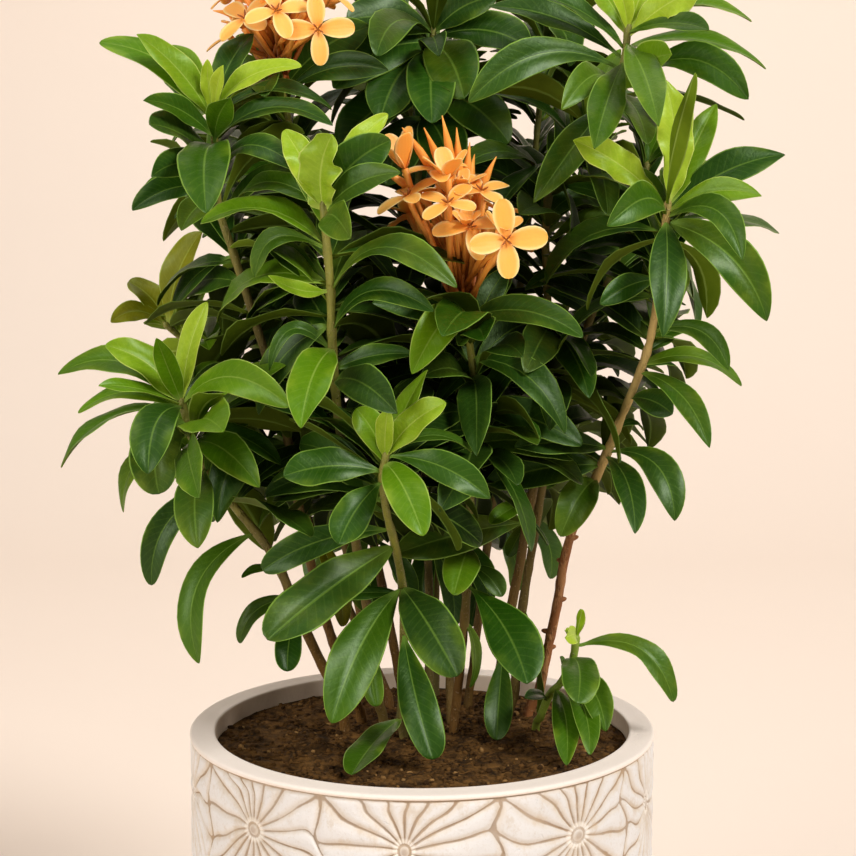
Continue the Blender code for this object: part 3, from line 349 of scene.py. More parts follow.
        (-53, 425, -24), (-57, 445, -18), (-59, 456, -14),
        ], leaves=[
        (450, -22, 478, -10, 18, 4, 15), (449, -14, 458, 6, 12, 6, 15), (447, -86, 462, -30, 12, 4, 30),
    ]),
    "stem_back_centre": dict(
        foot=(3, 46), radius=(2.0, 1.1), pairs=(9, 290, 474, 0), young=0.05, bark=0.4, route=[
        (3, 200, -46), (3, 240, -46), (1, 290, -46), (-2, 340, -44), (-3, 390, -42), (0, 430, -40),
        (3, 458, -38), (5, 476, -36),
    ]),
    "stem_back_right": dict(
        foot=(21, 56), radius=(2.0, 1.1), pairs=(8, 300, 470, 0), young=0.1, bark=0.6, route=[
        (22, 205, -56), (27, 250, -58), (33, 300, -60), (39, 350, -62), (45, 400, -64), (49, 445, -64),
        (51, 472, -62),
    ]),
    "stem_rear_left": dict(
        foot=(-21, 64), radius=(2.0, 1.1), pairs=(7, 272, 418, 0), young=0.15, bark=0.5, route=[
        (-22, 205, -66), (-30, 245, -72), (-40, 290, -80), (-49, 330, -88), (-56, 365, -94), (-61, 395, -98),
        (-64, 420, -98),
    ]),
    "stem_rear_right": dict(
        foot=(34, 62), radius=(2.0, 1.1), pairs=(7, 272, 410, 0), young=0.1, bark=0.6, route=[
        (35, 208, -66), (42, 250, -74), (50, 300, -84), (58, 345, -92), (64, 380, -96), (68, 412, -98),
    ]),
    "stem_rear_centre": dict(
        foot=(6, 70), radius=(1.9, 1.1), pairs=(6, 265, 364, 0), young=0.05, bark=0.4, route=[
        (6, 212, -76), (6, 255, -86), (6, 300, -98), (6, 335, -106), (5, 366, -110),
    ]),
    "stem_rear_top": dict(
        foot=(13, 34), radius=(2.0, 1.1), pairs=(7, 302, 462, 0), young=0.1, bark=0.5, route=[
        (12, 202, -42), (13, 250, -58), (12, 300, -66), (9, 350, -72), (4, 400, -76), (-4, 440, -78),
        (-10, 464, -78),
    ]),
    "sprout_right": dict(
        foot=(50, 16), radius=(1.7, 1.3), pairs=(0, 0, 0, 0), young=0.5, bark=-0.4, route=[
        (51, 182, -10), (55, 192, -5), (61, 199, 2), (65, 208, 6), (66.5, 218, 8),
        ], leaves=[
        (214, 109, 189, 20, 11, 13, 30), (209, 69, 189.5, 44, 16, 4, 30), (218, 61.5, 221, 16, 4, 0, 90),
        (218, 70.5, 228.5, 12, 3, 0, 90), (203, 82, 177, 34, 12, 5, 35), (199, 76, 165, 42, 10, 5, 40),
        (195, 64.5, 161, 44, 10, 4, 40), (190, 46, 190.5, 16, 5, 2, 15), (201, 60, 208.5, 8, 3, 0, 40),
    ]),
}

# Leaves that only show here, as rows like those above: low inside the bush, at the top in the middle, at
# the upper right and on the sprout
ADDED_LEAVES = {
    "stem_left_bloom": [
        (268, -25, 228, -24, 11, 5, 20), (262, -6, 234, -30, 10, 4, 15),
    ],
    "stem_back_centre": [
        (262, 12, 222, -36, 12, 5, 15), (270, -10, 240, -40, 10, 4, 20), (470, -42, 448, -10, 20, 6, 15),
        (470, 18, 448, 4, 22, 4, 10), (468, -20, 440, 0, 22, 4, 10), (472, 45, 470, -10, 18, 5, 20),
        (474, -30, 478, -14, 18, 4, 15), (474, 30, 488, -16, 16, 4, 20), (468, 2, 438, 2, 20, 3, 8),
        (452, -34, 428, -14, 20, 4, 10), (452, 36, 430, -10, 20, 4, 10), (440, 12, 416, -8, 20, 4, 5),
        (440, -14, 412, -8, 20, 4, 5),
    ],
    "stem_rear_centre": [
        (264, 0, 226, -70, 12, 4, 10), (272, 18, 240, -72, 12, 4, 15),
    ],
    "stem_rear_top": [
        (262, 27, 232, -44, 11, 5, 20),
    ],
    "stem_back_right": [
        (268, 40, 238, -52, 11, 5, 15), (258, 22, 222, -50, 10, 4, 20),
    ],
    "stem_rear_left": [
        (268, -46, 240, -70, 12, 5, 15), (260, -20, 226, -64, 11, 4, 15),
    ],
    "stem_rear_right": [
        (270, 54, 244, -74, 12, 5, 15),
    ],
    "stem_left_back": [
        (262, -34, 222, -40, 10, 5, 25),
    ],
    "stem_north_east": [
        (462, 66, 427, 45, 13, 4, 30), (445, 50, 403, 40, 13, 4, 15), (470, 95, 436, 50, 12, 4, 40),
        (434, 76, 398, 30, 12, 4, 10),
    ],
    "sprout_right": [
        (219, 62.5, 218.5, 26, 7.5, 1, 95), (219, 69, 230.5, 10, 2.5, 0, 90),
    ],
}

# Flower heads. A flower is (x, z and near of its middle, how far it is turned to the viewer, length of a
# petal, spin in degrees), and a bud is (x, z, near) of its tip.
HEADS = {
    "flower_head_middle": {
        "stem": "stem_middle_bloom",
        "flowers": [
        (35.5, 388.5, 62, 0.95, 16, 8), (20.5, 394, 50, 0.6, 16, 15), (-6, 407, 46, 0.3, 14, 20),
        (6, 418, 40, 0.25, 14, 5), (25, 409, 42, 0.35, 14, 35), (11, 404, 54, 0.4, 14, 50),
        (32, 401, 14, 0.0, 13, 10), (8, 409, 8, 0.0, 13, 30), (20, 412, -4, 0.0, 13, 0),
        (-5, 398, 12, 0.0, 13, 40), (36, 388, -2, 0.0, 13, 20),
        ],
        "buds": [
        (-8, 435, 42), (-19, 419, 38), (1, 435, 40), (8.5, 440, 36), (14.5, 435, 32), (20, 429, 28),
        (31, 423, 26), (29, 420, 36), (-2, 428, 18), (22, 424, 8),
        ],
    },
    "flower_head_top": {
        "stem": "stem_left_bloom",
        "flowers": [
        (-43, 475.5, 24, 0.85, 15, 10), (-60, 483, 22, 0.5, 15, 20), (-73, 480, 12, 0.35, 14, 40),
        (-80, 473, -6, 0.1, 12, 10), (-50, 495, 8, 0.2, 14, 30), (-67, 498, 4, 0.1, 14, 10),
        (-38, 490, -2, 0.1, 13, 55), (-77, 490, -14, 0.0, 13, 20), (-58, 502, -16, 0.0, 13, 0),
        (-46, 488, -40, 0.0, 13, 30), (-66, 486, -46, 0.0, 13, 15),
        ],
        "buds": [(-31, 497, 4), (-27, 489, -6), (-86, 483, -4), (-48, 507, -4), (-64, 508, -26)],
    },
}

# Flowers that are only opening, as rows of the heads' tables with how far their petals stand up
LATE_FLOWERS = {
    "flower_head_middle": [(-7, 418, 44, 0.1, 18, 35, 1.8), (11, 414, 46, 0.1, 15, 20, 1.1)],
    "flower_head_top": [(-66, 490, 12, 0.1, 15, 20, 1.2)],
}

# Widest places where the tip of a rule-grown leaf may be seen, as (z, leftmost x, rightmost x)
SPREAD = (
    (255, -60, 60), (280, -104, 88), (300, -122, 102), (350, -122, 122), (400, -116, 134),
    (450, -116, 132), (480, -98, 128), (505, -66, 106),
)

DEEPEST = 132 * MM



def seen(x, z, near):
    """The point on the line of sight to (x, z) that is near millimetres in front of the axis plane."""
    there = Vector((x * MM, 0.0, z * MM))
    return VIEWPOINT + (there - VIEWPOINT) * (1.0 + near * MM / VIEWPOINT.y)


def pointing(azimuth, rise):
    """The direction towards an azimuth, rising by an angle: cosines of both, and the sine of the rise."""
    return Vector((math.cos(azimuth) * math.cos(rise), math.sin(azimuth) * math.cos(rise), math.sin(rise)))


def tube(centres, radii, sides, pointed=False):
    """A closed tube round a line of points, as (points, faces). On each ring a point lies at the radius
    times the cosine of its turn across the line, plus the radius times the sine square to that."""
    across = (centres[1] - centres[0]).orthogonal().normalized()
    points = []
    for i, centre in enumerate(centres):
        along = (centres[min(i + 1, len(centres) - 1)] - centres[max(i - 1, 0)]).normalized()
        across = (across - along * across.dot(along)).normalized()
        other = along.cross(across)
        for k in range(sides):
            turn = 2 * math.pi * k / sides
            points.append(centre + (across * math.cos(turn) + other * math.sin(turn)) * radii[i])
    top = (len(centres) - 1) * sides
    faces = [tuple(reversed(range(sides)))]
    for ring in range(0, top, sides):
        for k in range(sides):
            a, b = ring + k, ring + (k + 1) % sides
            faces.append((a, b, b + sides, a + sides))
    if pointed:
        points.append(centres[-1] + along * radii[-1] * 2)
        faces += [(top + k, top + (k + 1) % sides, len(points) - 1) for k in range(sides)]
    else:
        faces.append(tuple(top + k for k in range(sides)))
    return points, faces


class Stem:
    """A stem's centre line, from the foot of its hole to its tip."""

    def __init__(self, row):
        x, y = row["foot"]
        foot = Vector((x * MM, y * MM, SOIL_LEVEL + SOIL_ROUGHNESS + 1 * MM))
        bottom = Vector((foot.x, foot.y, SOIL_LEVEL - HOLE_DEPTH + GAP))
        self.heights = [point[1] for point in row["route"]]
        self.seen_points = [seen(*point) for point in row["route"]]
        self.centres = [bottom, foot, *self.seen_points]
        self.tip = self.centres[-1]
        self.way = (self.tip - self.centres[-2]).normalized()
        self.base_radius, self.tip_radius = (r * MM for r in row["radius"])
        shares = [i / (len(self.centres) - 1) for i in range(len(self.centres))]
        self.radii = [self.base_radius + (self.tip_radius - self.base_radius) * share for share in shares]

    def at(self, height):
        """The point of the centre line that is seen at this height."""
        height = min(max(height, self.heights[0]), self.heights[-1])
        for i in range(len(self.heights) - 1):
            low, high = self.heights[i], self.heights[i + 1]
            if height <= high:
                share = (height - low) / (high - low)
                return self.seen_points[i].lerp(self.seen_points[i + 1], share)


class Leaf:
    """A leaf blade: its centre line arches from base to tip, and its face looks along facing."""

    def __init__(self, base, tip, width, arch, facing, sections):
        self.base, self.tip, self.width = base, tip, width
        self.chord = tip - base
        self.length = self.chord.length
        self.lift = Leaf.upward(base, self.chord.normalized())
        self.arch = arch
        self.facing = facing
        self.sections = sections

    @staticmethod
    def upward(base, along):
        """Square to the blade and nearest to straight up, or outwards on an upright one."""
        outward = Vector((base.x, base.y, 0.0)).normalized()
        up = Vector((0.0, 0.0, 1.0)) + outward * 0.35
        return (up - along * up.dot(along)).normalized()

    @staticmethod
    def rolled(base, along, roll):
        """The upward direction times the roll's cosine, plus the one square to it times the sine."""
        up = Leaf.upward(base, along)
        return up * math.cos(roll) + along.cross(up) * math.sin(roll)

    def centre(self, t):
        """The base, plus t times the chord, plus 4*t*(1-t) times the arch, along the lift."""
        return self.base + self.chord * t + self.lift * (self.arch * 4 * t * (1 - t))

    def square(self, t):
        """The directions across the blade and out of its upper face."""
        along = (self.chord + self.lift * (self.arch * 4 * (1 - 2 * t))).normalized()
        side = along.cross(self.facing).normalized()
        return side, side.cross(along)

    def mesh(self, start=0.0, room=0.0):
        """A thin closed blade, folded a little along its rib, from start to tip."""
        points = [self.centre(start)]
        for t, share in self.sections:
            if t <= start:
                continue
            centre = self.centre(t)
            side, face = self.square(t)
            half = self.width / 2 * share + room
            thick = BLADE_THICKNESS / 2 + room
            edge = face * (BLADE_FOLD * half)
            points += [centre - side * half + edge, centre + side * half + edge]
            points += [centre + face * thick, centre - face * thick]
        points.append(self.centre(1.0) + self.chord.normalized() * room)
        return points, blade_faces((len(points) - 2) // 4)


def blade_faces(sections):
    """Triangles of a blade, split alike on both faces: each section is left, right, top, bottom."""
    left, right, top, bottom = 1, 2, 3, 4
    faces = [(0, top, left), (0, right, top), (0, left, bottom), (0, bottom, right)]
    for _ in range(sections - 1):
        faces += [(left, top, top + 4), (left, top + 4, left + 4)]
        faces += [(top, right, top + 4), (right, right + 4, top + 4)]
        faces += [(left, left + 4, bottom + 4), (left, bottom + 4, bottom)]
        faces += [(bottom, bottom + 4, right), (bottom + 4, right + 4, right)]
        left, right, top, bottom = left + 4, right + 4, top + 4, bottom + 4
    tip = bottom + 1
    faces += [(left, top, tip), (top, right, tip), (left, tip, bottom), (bottom, tip, right)]
    return faces


class Solid:
    """Something that leaves are bent clear of: its whole tree, and the tree of its outer part."""

    def __init__(self, owner, whole, outer=None):
        self.owner = owner
        corners = np.array(whole[0])
        self.low, self.high = corners.min(axis=0), corners.max(axis=0)
        self.whole = BVHTree.FromPolygons(*whole)
        self.outer = BVHTree.FromPolygons(*outer) if outer else self.whole

    def meets(self, other):
        """Whether two solids cross. Pieces of one node may touch where they part, so only their outer parts
        count against each other."""
        if (self.low > other.high).any() or (other.low > self.high).any():
            return False
        if self.owner == other.owner:
            return bool(self.outer.overlap(other.outer))
        return bool(self.whole.overlap(other.whole))


def in_pot(point):
    """Whether a point is in the wall, the rim or the soil, or too close to them."""
    reach = math.hypot(point.x, point.y)
    if reach >= POT_RADIUS + 1.5 * MM:
        return False
    over_wall = reach > POT_INNER_RADIUS - 1 * MM
    return point.z < SOIL_LEVEL + 1.2 * MM or (over_wall and point.z < POT_HEIGHT + 1 * MM)


def solid_of_leaf(owner, leaf, room):
    return Solid(owner, leaf.mesh(0.0, room), leaf.mesh(BLADE_START, room))


def is_clear(owner, leaf, placed):
    """Whether a leaf keeps clear of all that stands, with some room, and of the pot."""
    if any(in_pot(point) for point in leaf.mesh(BLADE_START)[0]):
        return False
    grown = solid_of_leaf(owner, leaf, ROOM)
    return not any(grown.meets(other) for other in placed)


def hand_leaf(stem, row, nearer, turned, shorter):
    """The leaf of a row, its tip brought nearer and its face turned as far as needed to be clear. Where it
    is seen narrow for its length, it is wider and turned until it is seen as narrow."""
    height, x, z, near, seen_width, arch, tone = row
    base = stem.at(height)
    tip = base.lerp(seen(x, z, near + nearer), shorter)
    base = base + (tip - base).normalized() * stem.tip_radius * SET_OUT
    along = (tip - base).normalized()
    width = max(seen_width * 1.05 * MM, min((tip - base).length * WIDTH_TO_LENGTH, 15 * MM))
    up = Leaf.upward(base, along)
    to_view = (VIEWPOINT - base).normalized()
    to_view = (to_view - along * to_view.dot(along)).normalized()
    angle = math.asin(min(1.0, seen_width * MM / width)) - math.radians(8) + math.radians(turned)
    facing = up * math.cos(angle) + to_view * math.sin(angle)
    sections = LONG_SECTIONS if (tip - base).length > SHORT_LEAF else SHORT_SECTIONS
    leaf = Leaf(base, tip, width, arch * MM, facing.normalized(), sections)
    leaf.tone = tone / 100
    return leaf


def place_hand_leaves(name, stem, rows, placed):
    """Each row's leaf at the first of a few depths and turns that is clear of all that stands."""
    leaves = []
    for row in rows:
        for shorter, nearer, turned in itertools.product((1.0, 0.85), DEPTH_TRIES, TURN_TRIES):
            leaf = hand_leaf(stem, row, nearer, turned, shorter)
            if is_clear(name, leaf, placed):
                placed.append(solid_of_leaf(name, leaf, 0.0))
                leaves.append(leaf)
                break
    return leaves


def may_grow(tip):
    """Whether a rule-grown leaf may reach this point: inside the bush, and above the bare stems."""
    share = VIEWPOINT.y / (VIEWPOINT.y - tip.y)
    x = (VIEWPOINT.x + (tip.x - VIEWPOINT.x) * share) / MM
    z = (VIEWPOINT.z + (tip.z - VIEWPOINT.z) * share) / MM
    if z < SPREAD[0][0] or z > SPREAD[-1][0] or abs(tip.y) > DEEPEST:
        return False
    heights, left, right = zip(*SPREAD)
    return np.interp(z, heights, left) <= x <= np.interp(z, heights, right)


def grow_leaf(name, stem, base, way, length, habit, placed, draw):
    """A list of one leaf of the rule, empty where it may not grow or isn't clear."""
    roll, widths, arches = habit
    start = base + way * stem.tip_radius * SET_OUT
    tip = start + way * length
    if not may_grow(tip):
        return []
    facing = Leaf.rolled(start, way, math.radians(draw.uniform(-roll, roll)))
    width = length * (draw.uniform(*widths) if len(widths) == 2 else widths[0])
    leaf = Leaf(start, tip, width, length * draw.uniform(*arches), facing, SHORT_SECTIONS)
    if not is_clear(name, leaf, placed):
        return []
    placed.append(solid_of_leaf(name, leaf, 0.0))
    return [leaf]


def place_pairs(name, stem, pairs, placed, draw):
    """Opposite pairs up the stem, each a quarter turn on from the last, drooping low down and rising
    towards the tip. A leaf that isn't clear is drawn again, and left out after a few draws."""
    number, low, high, rear_only = pairs
    leaves = []
    turn = draw.uniform(0, math.pi / 2)
    for i in range(number):
        share = i / max(number - 1, 1)
        base = stem.at(low + (high - low) * share)
        for side in (0, math.pi):
            for _ in range(DRAWS_PER_LEAF):
                azimuth = turn + side + i * math.pi / 2 + draw.uniform(-0.5, 0.5)
                if rear_only:
                    azimuth = math.atan2(abs(math.sin(azimuth)) + 0.3, math.cos(azimuth))
                way = pointing(azimuth, math.radians(draw.uniform(-38, -8) + 70 * share ** 1.5))
                length = draw.uniform(48, 60) * MM * (1 - 0.3 * share ** 3)
                found = grow_leaf(name, stem, base, way, length, PAIR_HABIT, placed, draw)
                leaves += found
                if found:
                    break
    return leaves


def place_fillers(name, stem, pairs, placed, draw):
    """Broad single leaves at any height and turn, where there is still room. On a stem that shows bare in
    front they grow to the rear only."""
    _, low, high, _ = pairs
    turns = (0.15, math.pi - 0.15) if name in BARE_IN_FRONT else (0, 2 * math.pi)
    leaves = []
    for _ in range(FILLER_TRIES):
        base = stem.at(draw.uniform(low - 12, high + 6))
        way = pointing(draw.uniform(*turns), math.radians(draw.uniform(-55, 40)))
        length = draw.uniform(40, 62) * MM
        leaves += grow_leaf(name, stem, base, way, length, FILLER_HABIT, placed, draw)
    return leaves


class Head:
    """Where a flower head stands: its root just above the stem's tip, its foot 3 mm further on, the way that
    its core leans towards the middle of its flowers, and the start that the flowers' tubes part from."""

    def __init__(self, stem, row):
        self.root = stem.tip + stem.way * GAP
        self.foot = self.root + stem.way * 3 * MM
        middle = sum((seen(*f[:3]) for f in row["flowers"]), Vector()) / len(row["flowers"])
        self.core_way = (middle - self.root).normalized()
        self.start = self.root + self.core_way * CORE_LENGTH * 0.5

    def coarse(self, row):
        """The core, the flowers and the buds of the solids, which leaves are kept clear of."""
        centres = [self.root, self.foot, self.foot + self.core_way * CORE_LENGTH * 0.6]
        centres.append(centres[-1] + self.core_way * CORE_LENGTH * 0.4)
        pieces = [tube(centres, [1.6 * MM, 2.2 * MM, CORE_RADIUS, CORE_RADIUS * 0.6], 7)]
        for flower in row["flowers"]:
            pieces += self.coarse_flower(flower)
        return pieces + [self.coarse_bud(tip) for tip in row["buds"]]

    def coarse_flower(self, row):
        """One open flower: a slim tube out of the head's core and four petals."""
        x, z, near, turned, length, spin = row
        centre = seen(x, z, near)
        outward = (centre - self.start).normalized()
        to_view = (VIEWPOINT - centre).normalized()
        axis = outward.lerp(to_view, turned).normalized()
        centres = [self.start, centre, centre + axis * 1.2 * MM]
        pieces = [tube(centres, [TUBE_RADIUS * 0.8, TUBE_RADIUS, TUBE_RADIUS], 3)]
        level = Vector((1.0, 0.0, 0.0))
        across = (level - axis * level.dot(axis)).normalized()
        other = axis.cross(across)
        for k in range(4):
            turn = math.radians(spin + 90 * k)
            way = (across * math.cos(turn) + other * math.sin(turn) + axis * 0.18).normalized()
            outline = BROAD_PETAL if turned > 0.4 else POINTED_PETAL
            pieces.append(coarse_petal(centre + axis * 0.3 * MM, way, axis, length * MM, outline))
        return pieces

    def coarse_bud(self, row):
        """A closed bud: a slim tube that swells and ends in a point."""
        tip = seen(*row)
        way = tip - self.start
        centres = [self.start, self.start + way * 0.6, self.start + way * 0.8]
        points, faces = tube(centres, [TUBE_RADIUS * 0.7, TUBE_RADIUS * 0.8, TUBE_RADIUS * 1.6], 3, True)
        points[-1] = tip
        return points, faces


def coarse_petal(root, way, axis, length, outline):
    """A petal of the given outline, with a thicker middle above and below."""
    side = way.cross(axis).normalized()
    face = side.cross(way)
    points = [root + way * (length * a) + side * (length * b) for a, b in outline]
    middle = root + way * (length * 0.58)
    points += [middle + face * (PETAL_THICKNESS / 2), middle - face * (PETAL_THICKNESS / 2)]
    corners = len(outline)
    faces = [(k, (k + 1) % corners, corners) for k in range(corners)]
    faces += [((k + 1) % corners, k, corners + 1) for k in range(corners)]
    return points, faces


def lay_out():
    """The stems, the flower heads and every leaf of the solids, in their places, then the leaves that only
    show here. Each leaf is kept clear of all that was placed before it."""
    stems = {name: Stem(row) for name, row in SHOOTS.items()}
    heads = {name: Head(stems[row["stem"]], row) for name, row in HEADS.items()}
    bearers = {row["stem"] for row in HEADS.values()}
    placed = []
    for name, stem in stems.items():
        grown = tube(stem.centres, [r + ROOM for r in stem.radii], STEM_SIDES, name not in bearers)
        placed.append(Solid(name, grown))
    for name, head in heads.items():
        placed += [Solid(name, piece) for piece in head.coarse(HEADS[name])]
    leaves = {}
    for name, row in SHOOTS.items():
        leaves[name] = place_hand_leaves(name, stems[name], row.get("leaves", ()), placed)
    grown = {}
    for name, row in SHOOTS.items():
        grown[name] = place_pairs(name, stems[name], row["pairs"], placed, random.Random(name))
    for name, rows in ADDED_LEAVES.items():
        leaves[name] += place_hand_leaves(name, stems[name], rows, placed)
    bushy = {name: row["pairs"] for name, row in SHOOTS.items() if row["pairs"][0]}
    for again in range(FILLING_ROUNDS):
        for name, (number, low, high, _) in bushy.items():
            if not (again and name in BARE_IN_FRONT):
                more = (number + 3, low - 8 + 5 * again, high + 4 - 4 * again, 1)
                draw = random.Random(f"{name} {again}")
                grown[name] += place_pairs(name, stems[name], more, placed, draw)
    for name, pairs in bushy.items():
        grown[name] += place_fillers(name, stems[name], pairs, placed, random.Random(name + " fillers"))
    return stems, heads, leaves, grown


def array(vector):
    return np.array(tuple(vector), float)


def unit(v):
    """Each row of v, brought to a length of one."""
    return v / np.linalg.norm(v, axis=-1, keepdims=True)


def grid_quads(grid):
    """Quads between the points of a grid, given as rows of point numbers."""
    return np.stack([grid[:-1, :-1], grid[:-1, 1:], grid[1:, 1:], grid[1:, :-1]], -1).reshape(-1, 4)


def ring_quads(rings, around):
    """Quads between rings of points that follow one another."""
    return grid_quads(np.arange(rings)[:, None] * around + np.arange(around + 1) % around)


def fan(hub, ring):
    """Triangles from a hub to each edge of a ring."""
    return np.stack([np.full(len(ring), hub), ring, np.roll(ring, -1)], -1)


def turned_over(faces):
    """The same faces with the same first corner, seen from their other side."""
    return np.roll(faces[:, ::-1], 1, axis=1)


class Surface:
    """Collects points, faces, UVs and per-point data of many small shapes, for one mesh."""

    def __init__(self):
        self.shapes, self.count = [], 0

    def add(self, points, quads, triangles, uvs, data, slots=(0, 0)):
        """Adds a shape. The slots are the numbers of its quads' and its triangles' materials."""
        points = np.asarray(points, float).reshape(-1, 3)
        quads = np.asarray(quads, int).reshape(-1, 4)
        triangles = np.asarray(triangles, int).reshape(-1, 3)
        uvs, data = np.broadcast_to(uvs, (len(points), 2)), np.broadcast_to(data, (len(points), 3))
        slots = (np.broadcast_to(slots[0], len(quads)), np.broadcast_to(slots[1], len(triangles)))
        self.shapes.append((points, uvs, data, quads + self.count, triangles + self.count, *slots))
        self.count += len(points)

    def build(self, name, materials, node):
        """The finished piece, which rides on the part and stands for its node."""
        points, uvs, data, quads, triangles, *slots = map(np.concatenate, zip(*self.shapes))
        corners, slots = np.concatenate([quads.ravel(), triangles.ravel()]), np.concatenate(slots)
        mesh = bpy.data.meshes.new(name)
        mesh.from_pydata(points, [], quads.tolist() + triangles.tolist())
        mesh.polygons.foreach_set("material_index", slots.astype(np.int32))
        layer = mesh.uv_layers.new(name="UVMap")
        layer.data.foreach_set("uv", uvs[corners].astype(np.float32).ravel())
        kept = mesh.attributes.new("kind", "FLOAT_VECTOR", "POINT")
        kept.data.foreach_set("vector", data.astype(np.float32).ravel())
        for material in materials:
            mesh.materials.append(material)
        mesh.validate()
        mesh.shade_smooth()
        piece = bpy.data.objects.new(name, mesh)
        bpy.context.scene.collection.objects.link(piece)
        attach(piece, "root")
        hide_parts(node)


class Blade:
    """A closed blade with points at given places along and across it. Its points are the base, the tip, then
    for each row between them the upper points from edge to edge and the lower points between the edges."""

    def __init__(self, along, across):
        self.t, self.u = np.array(along), np.array(across)
        rows, columns = len(along) - 2, len(across)
        first = 2 + np.arange(rows)[:, None] * (2 * columns - 2)
        upper = first + np.arange(columns)
        inner = first + columns + np.arange(columns - 2)
        lower = np.concatenate([upper[:, :1], inner, upper[:, -1:]], axis=1)
        self.quads = np.concatenate([grid_quads(upper), turned_over(grid_quads(lower))])
        ends = []
        for k in range(columns - 1):
            ends += [(0, upper[0, k + 1], upper[0, k]), (0, lower[0, k], lower[0, k + 1])]
            ends += [(1, upper[-1, k], upper[-1, k + 1]), (1, lower[-1, k + 1], lower[-1, k])]
        self.triangles = np.array(ends)
        self.quads_below = np.arange(len(self.quads)) >= len(self.quads) // 2
        self.triangles_below = np.arange(len(ends)) % 2
        uvs = np.stack(np.broadcast_arrays(self.u * 0.5 + 0.5, self.t[1:-1, None]), -1)
        uvs = np.concatenate([uvs, uvs[:, 1:-1]], axis=1)
        self.uvs = np.concatenate([[(0.5, 0.0), (0.5, 1.0)], uvs.reshape(-1, 2)])
        self.points_below = np.concatenate([(0, 0), np.tile(np.repeat((0, 1), (columns, columns - 2)), rows)])

    def points(self, centres, sides, faces, half, rise, thickness):
        """A row's centre, plus u times its half width along its side direction, plus the rise along the
        normal of its face. The lower face lies the thickness under the upper one."""
        upper = centres[:, None] + sides[:, None] * half[:, None, None] * self.u[:, None]
        upper = upper + faces[:, None] * rise[..., None]
        lower = upper - faces[:, None] * thickness[..., None]
        rows = np.concatenate([upper[1:-1], lower[1:-1, 1:-1]], axis=1)
        return np.concatenate([centres[:1], centres[-1:], rows.reshape(-1, 3)])


# Leaves with a row of their own, leaves grown by the rule, and petals
LEAF_BLADE = Blade((0, 0.03, 0.07, 0.12, 0.18, 0.24, 0.31, 0.38, 0.45, 0.52, 0.59, 0.66, 0.73, 0.79, 0.85,
                    0.9, 0.94, 0.97, 0.99, 1), (-1, -0.94, -0.62, -0.28, 0, 0.28, 0.62, 0.94, 1))
PLAIN_BLADE = Blade((0, 0.06, 0.16, 0.28, 0.4, 0.52, 0.64, 0.76, 0.87, 0.95, 0.985, 1),
                    (-1, -0.93, -0.45, 0, 0.45, 0.93, 1))
PETAL_BLADE = Blade((0, 0.08, 0.22, 0.38, 0.54, 0.7, 0.83, 0.92, 0.975, 1),
                    (-1, -0.9, -0.45, 0, 0.45, 0.9, 1))


def leaf_rows(leaf, t, draw):
    """The centre of each row of a leaf, and its directions across and out of its upper face. The centre is
    the base, plus t times the chord, plus 4*t*(1-t) times the arch, bent up or down by t^3 and sideways by
    t^2. Both directions are turned about the leaf by a twist that grows evenly along it."""
    base, chord = array(leaf.base), array(leaf.chord)
    lift, facing = array(leaf.lift), array(leaf.facing)
    centres = base + chord * t[:, None] + lift * (leaf.arch * 4 * t * (1 - t))[:, None]
    directions = chord + lift * (leaf.arch * 4 * (1 - 2 * t))[:, None]
    sides = unit(np.cross(directions, facing))
    faces = unit(np.cross(sides, directions))
    centres = centres + faces * (leaf.length * draw.uniform(*LEAF_BEND) * t ** 3)[:, None]
    centres = centres + sides * (leaf.length * draw.uniform(*LEAF_SWING) * t ** 2)[:, None]
    twist = (draw.uniform(*LEAF_TWIST) * (t - 0.2))[:, None]
    cos, sin = np.cos(twist), np.sin(twist)
    return centres, sides * cos + faces * sin, faces * cos - sides * sin


def leaf_half_width(leaf, t, draw):
    """Half the leaf's width, times (t/a)^(p*a/(1-a)) * ((1-t)/(1-a))^p, with its widest place at a. Broad
    leaves and low ones have a smaller p. Near the base it is never less than the stalk's."""
    low = min(1.0, max(0.0, (LOW_FROM - leaf.base.z) / LOW_RANGE))
    widest = draw.uniform(*LEAF_WIDEST) + 0.05 * low
    point = min(draw.uniform(*LEAF_POINT) - 0.25 * low, BLUNTNESS * leaf.length / leaf.width)
    point = max(point, BLUNTEST)
    shape = (t / widest) ** (point * widest / (1 - widest)) * ((1 - t) / (1 - widest)) ** point
    half = leaf.width / 2 * shape
    half = np.where(t < STALK_REACH, np.maximum(half, STALK), half)
    half[-1] = 0.0
    return half


def leaf_rise(leaf, t, u, draw, crumpled):
    """How far the upper face stands up, in half widths: the fold times |u|, plus a bulge of sin(pi*|u|),
    plus the margin's wave h*u^2*sin(2*pi*n*t + phase + sign(u)). A crumpled leaf has a second, higher wave
    with |u|^1.5 and t^0.8."""
    size, edge = np.abs(u), np.sign(u)
    height = draw.uniform(*WAVE_HEIGHT) + 0.12 * leaf.tone
    wave = height * u ** 2 * np.sin(2 * math.pi * (draw.uniform(*WAVES) * t) + draw.uniform(0, 6) + edge)
    if crumpled:
        wave = wave + CRUMPLE * size ** 1.5 * np.sin(CRUMPLES * 2 * math.pi * t ** 0.8 + 2.1 * edge)
    fold = BLADE_FOLD * draw.uniform(*LEAF_FOLD)
    return fold * size + BULGE * np.sin(math.pi * size) + wave


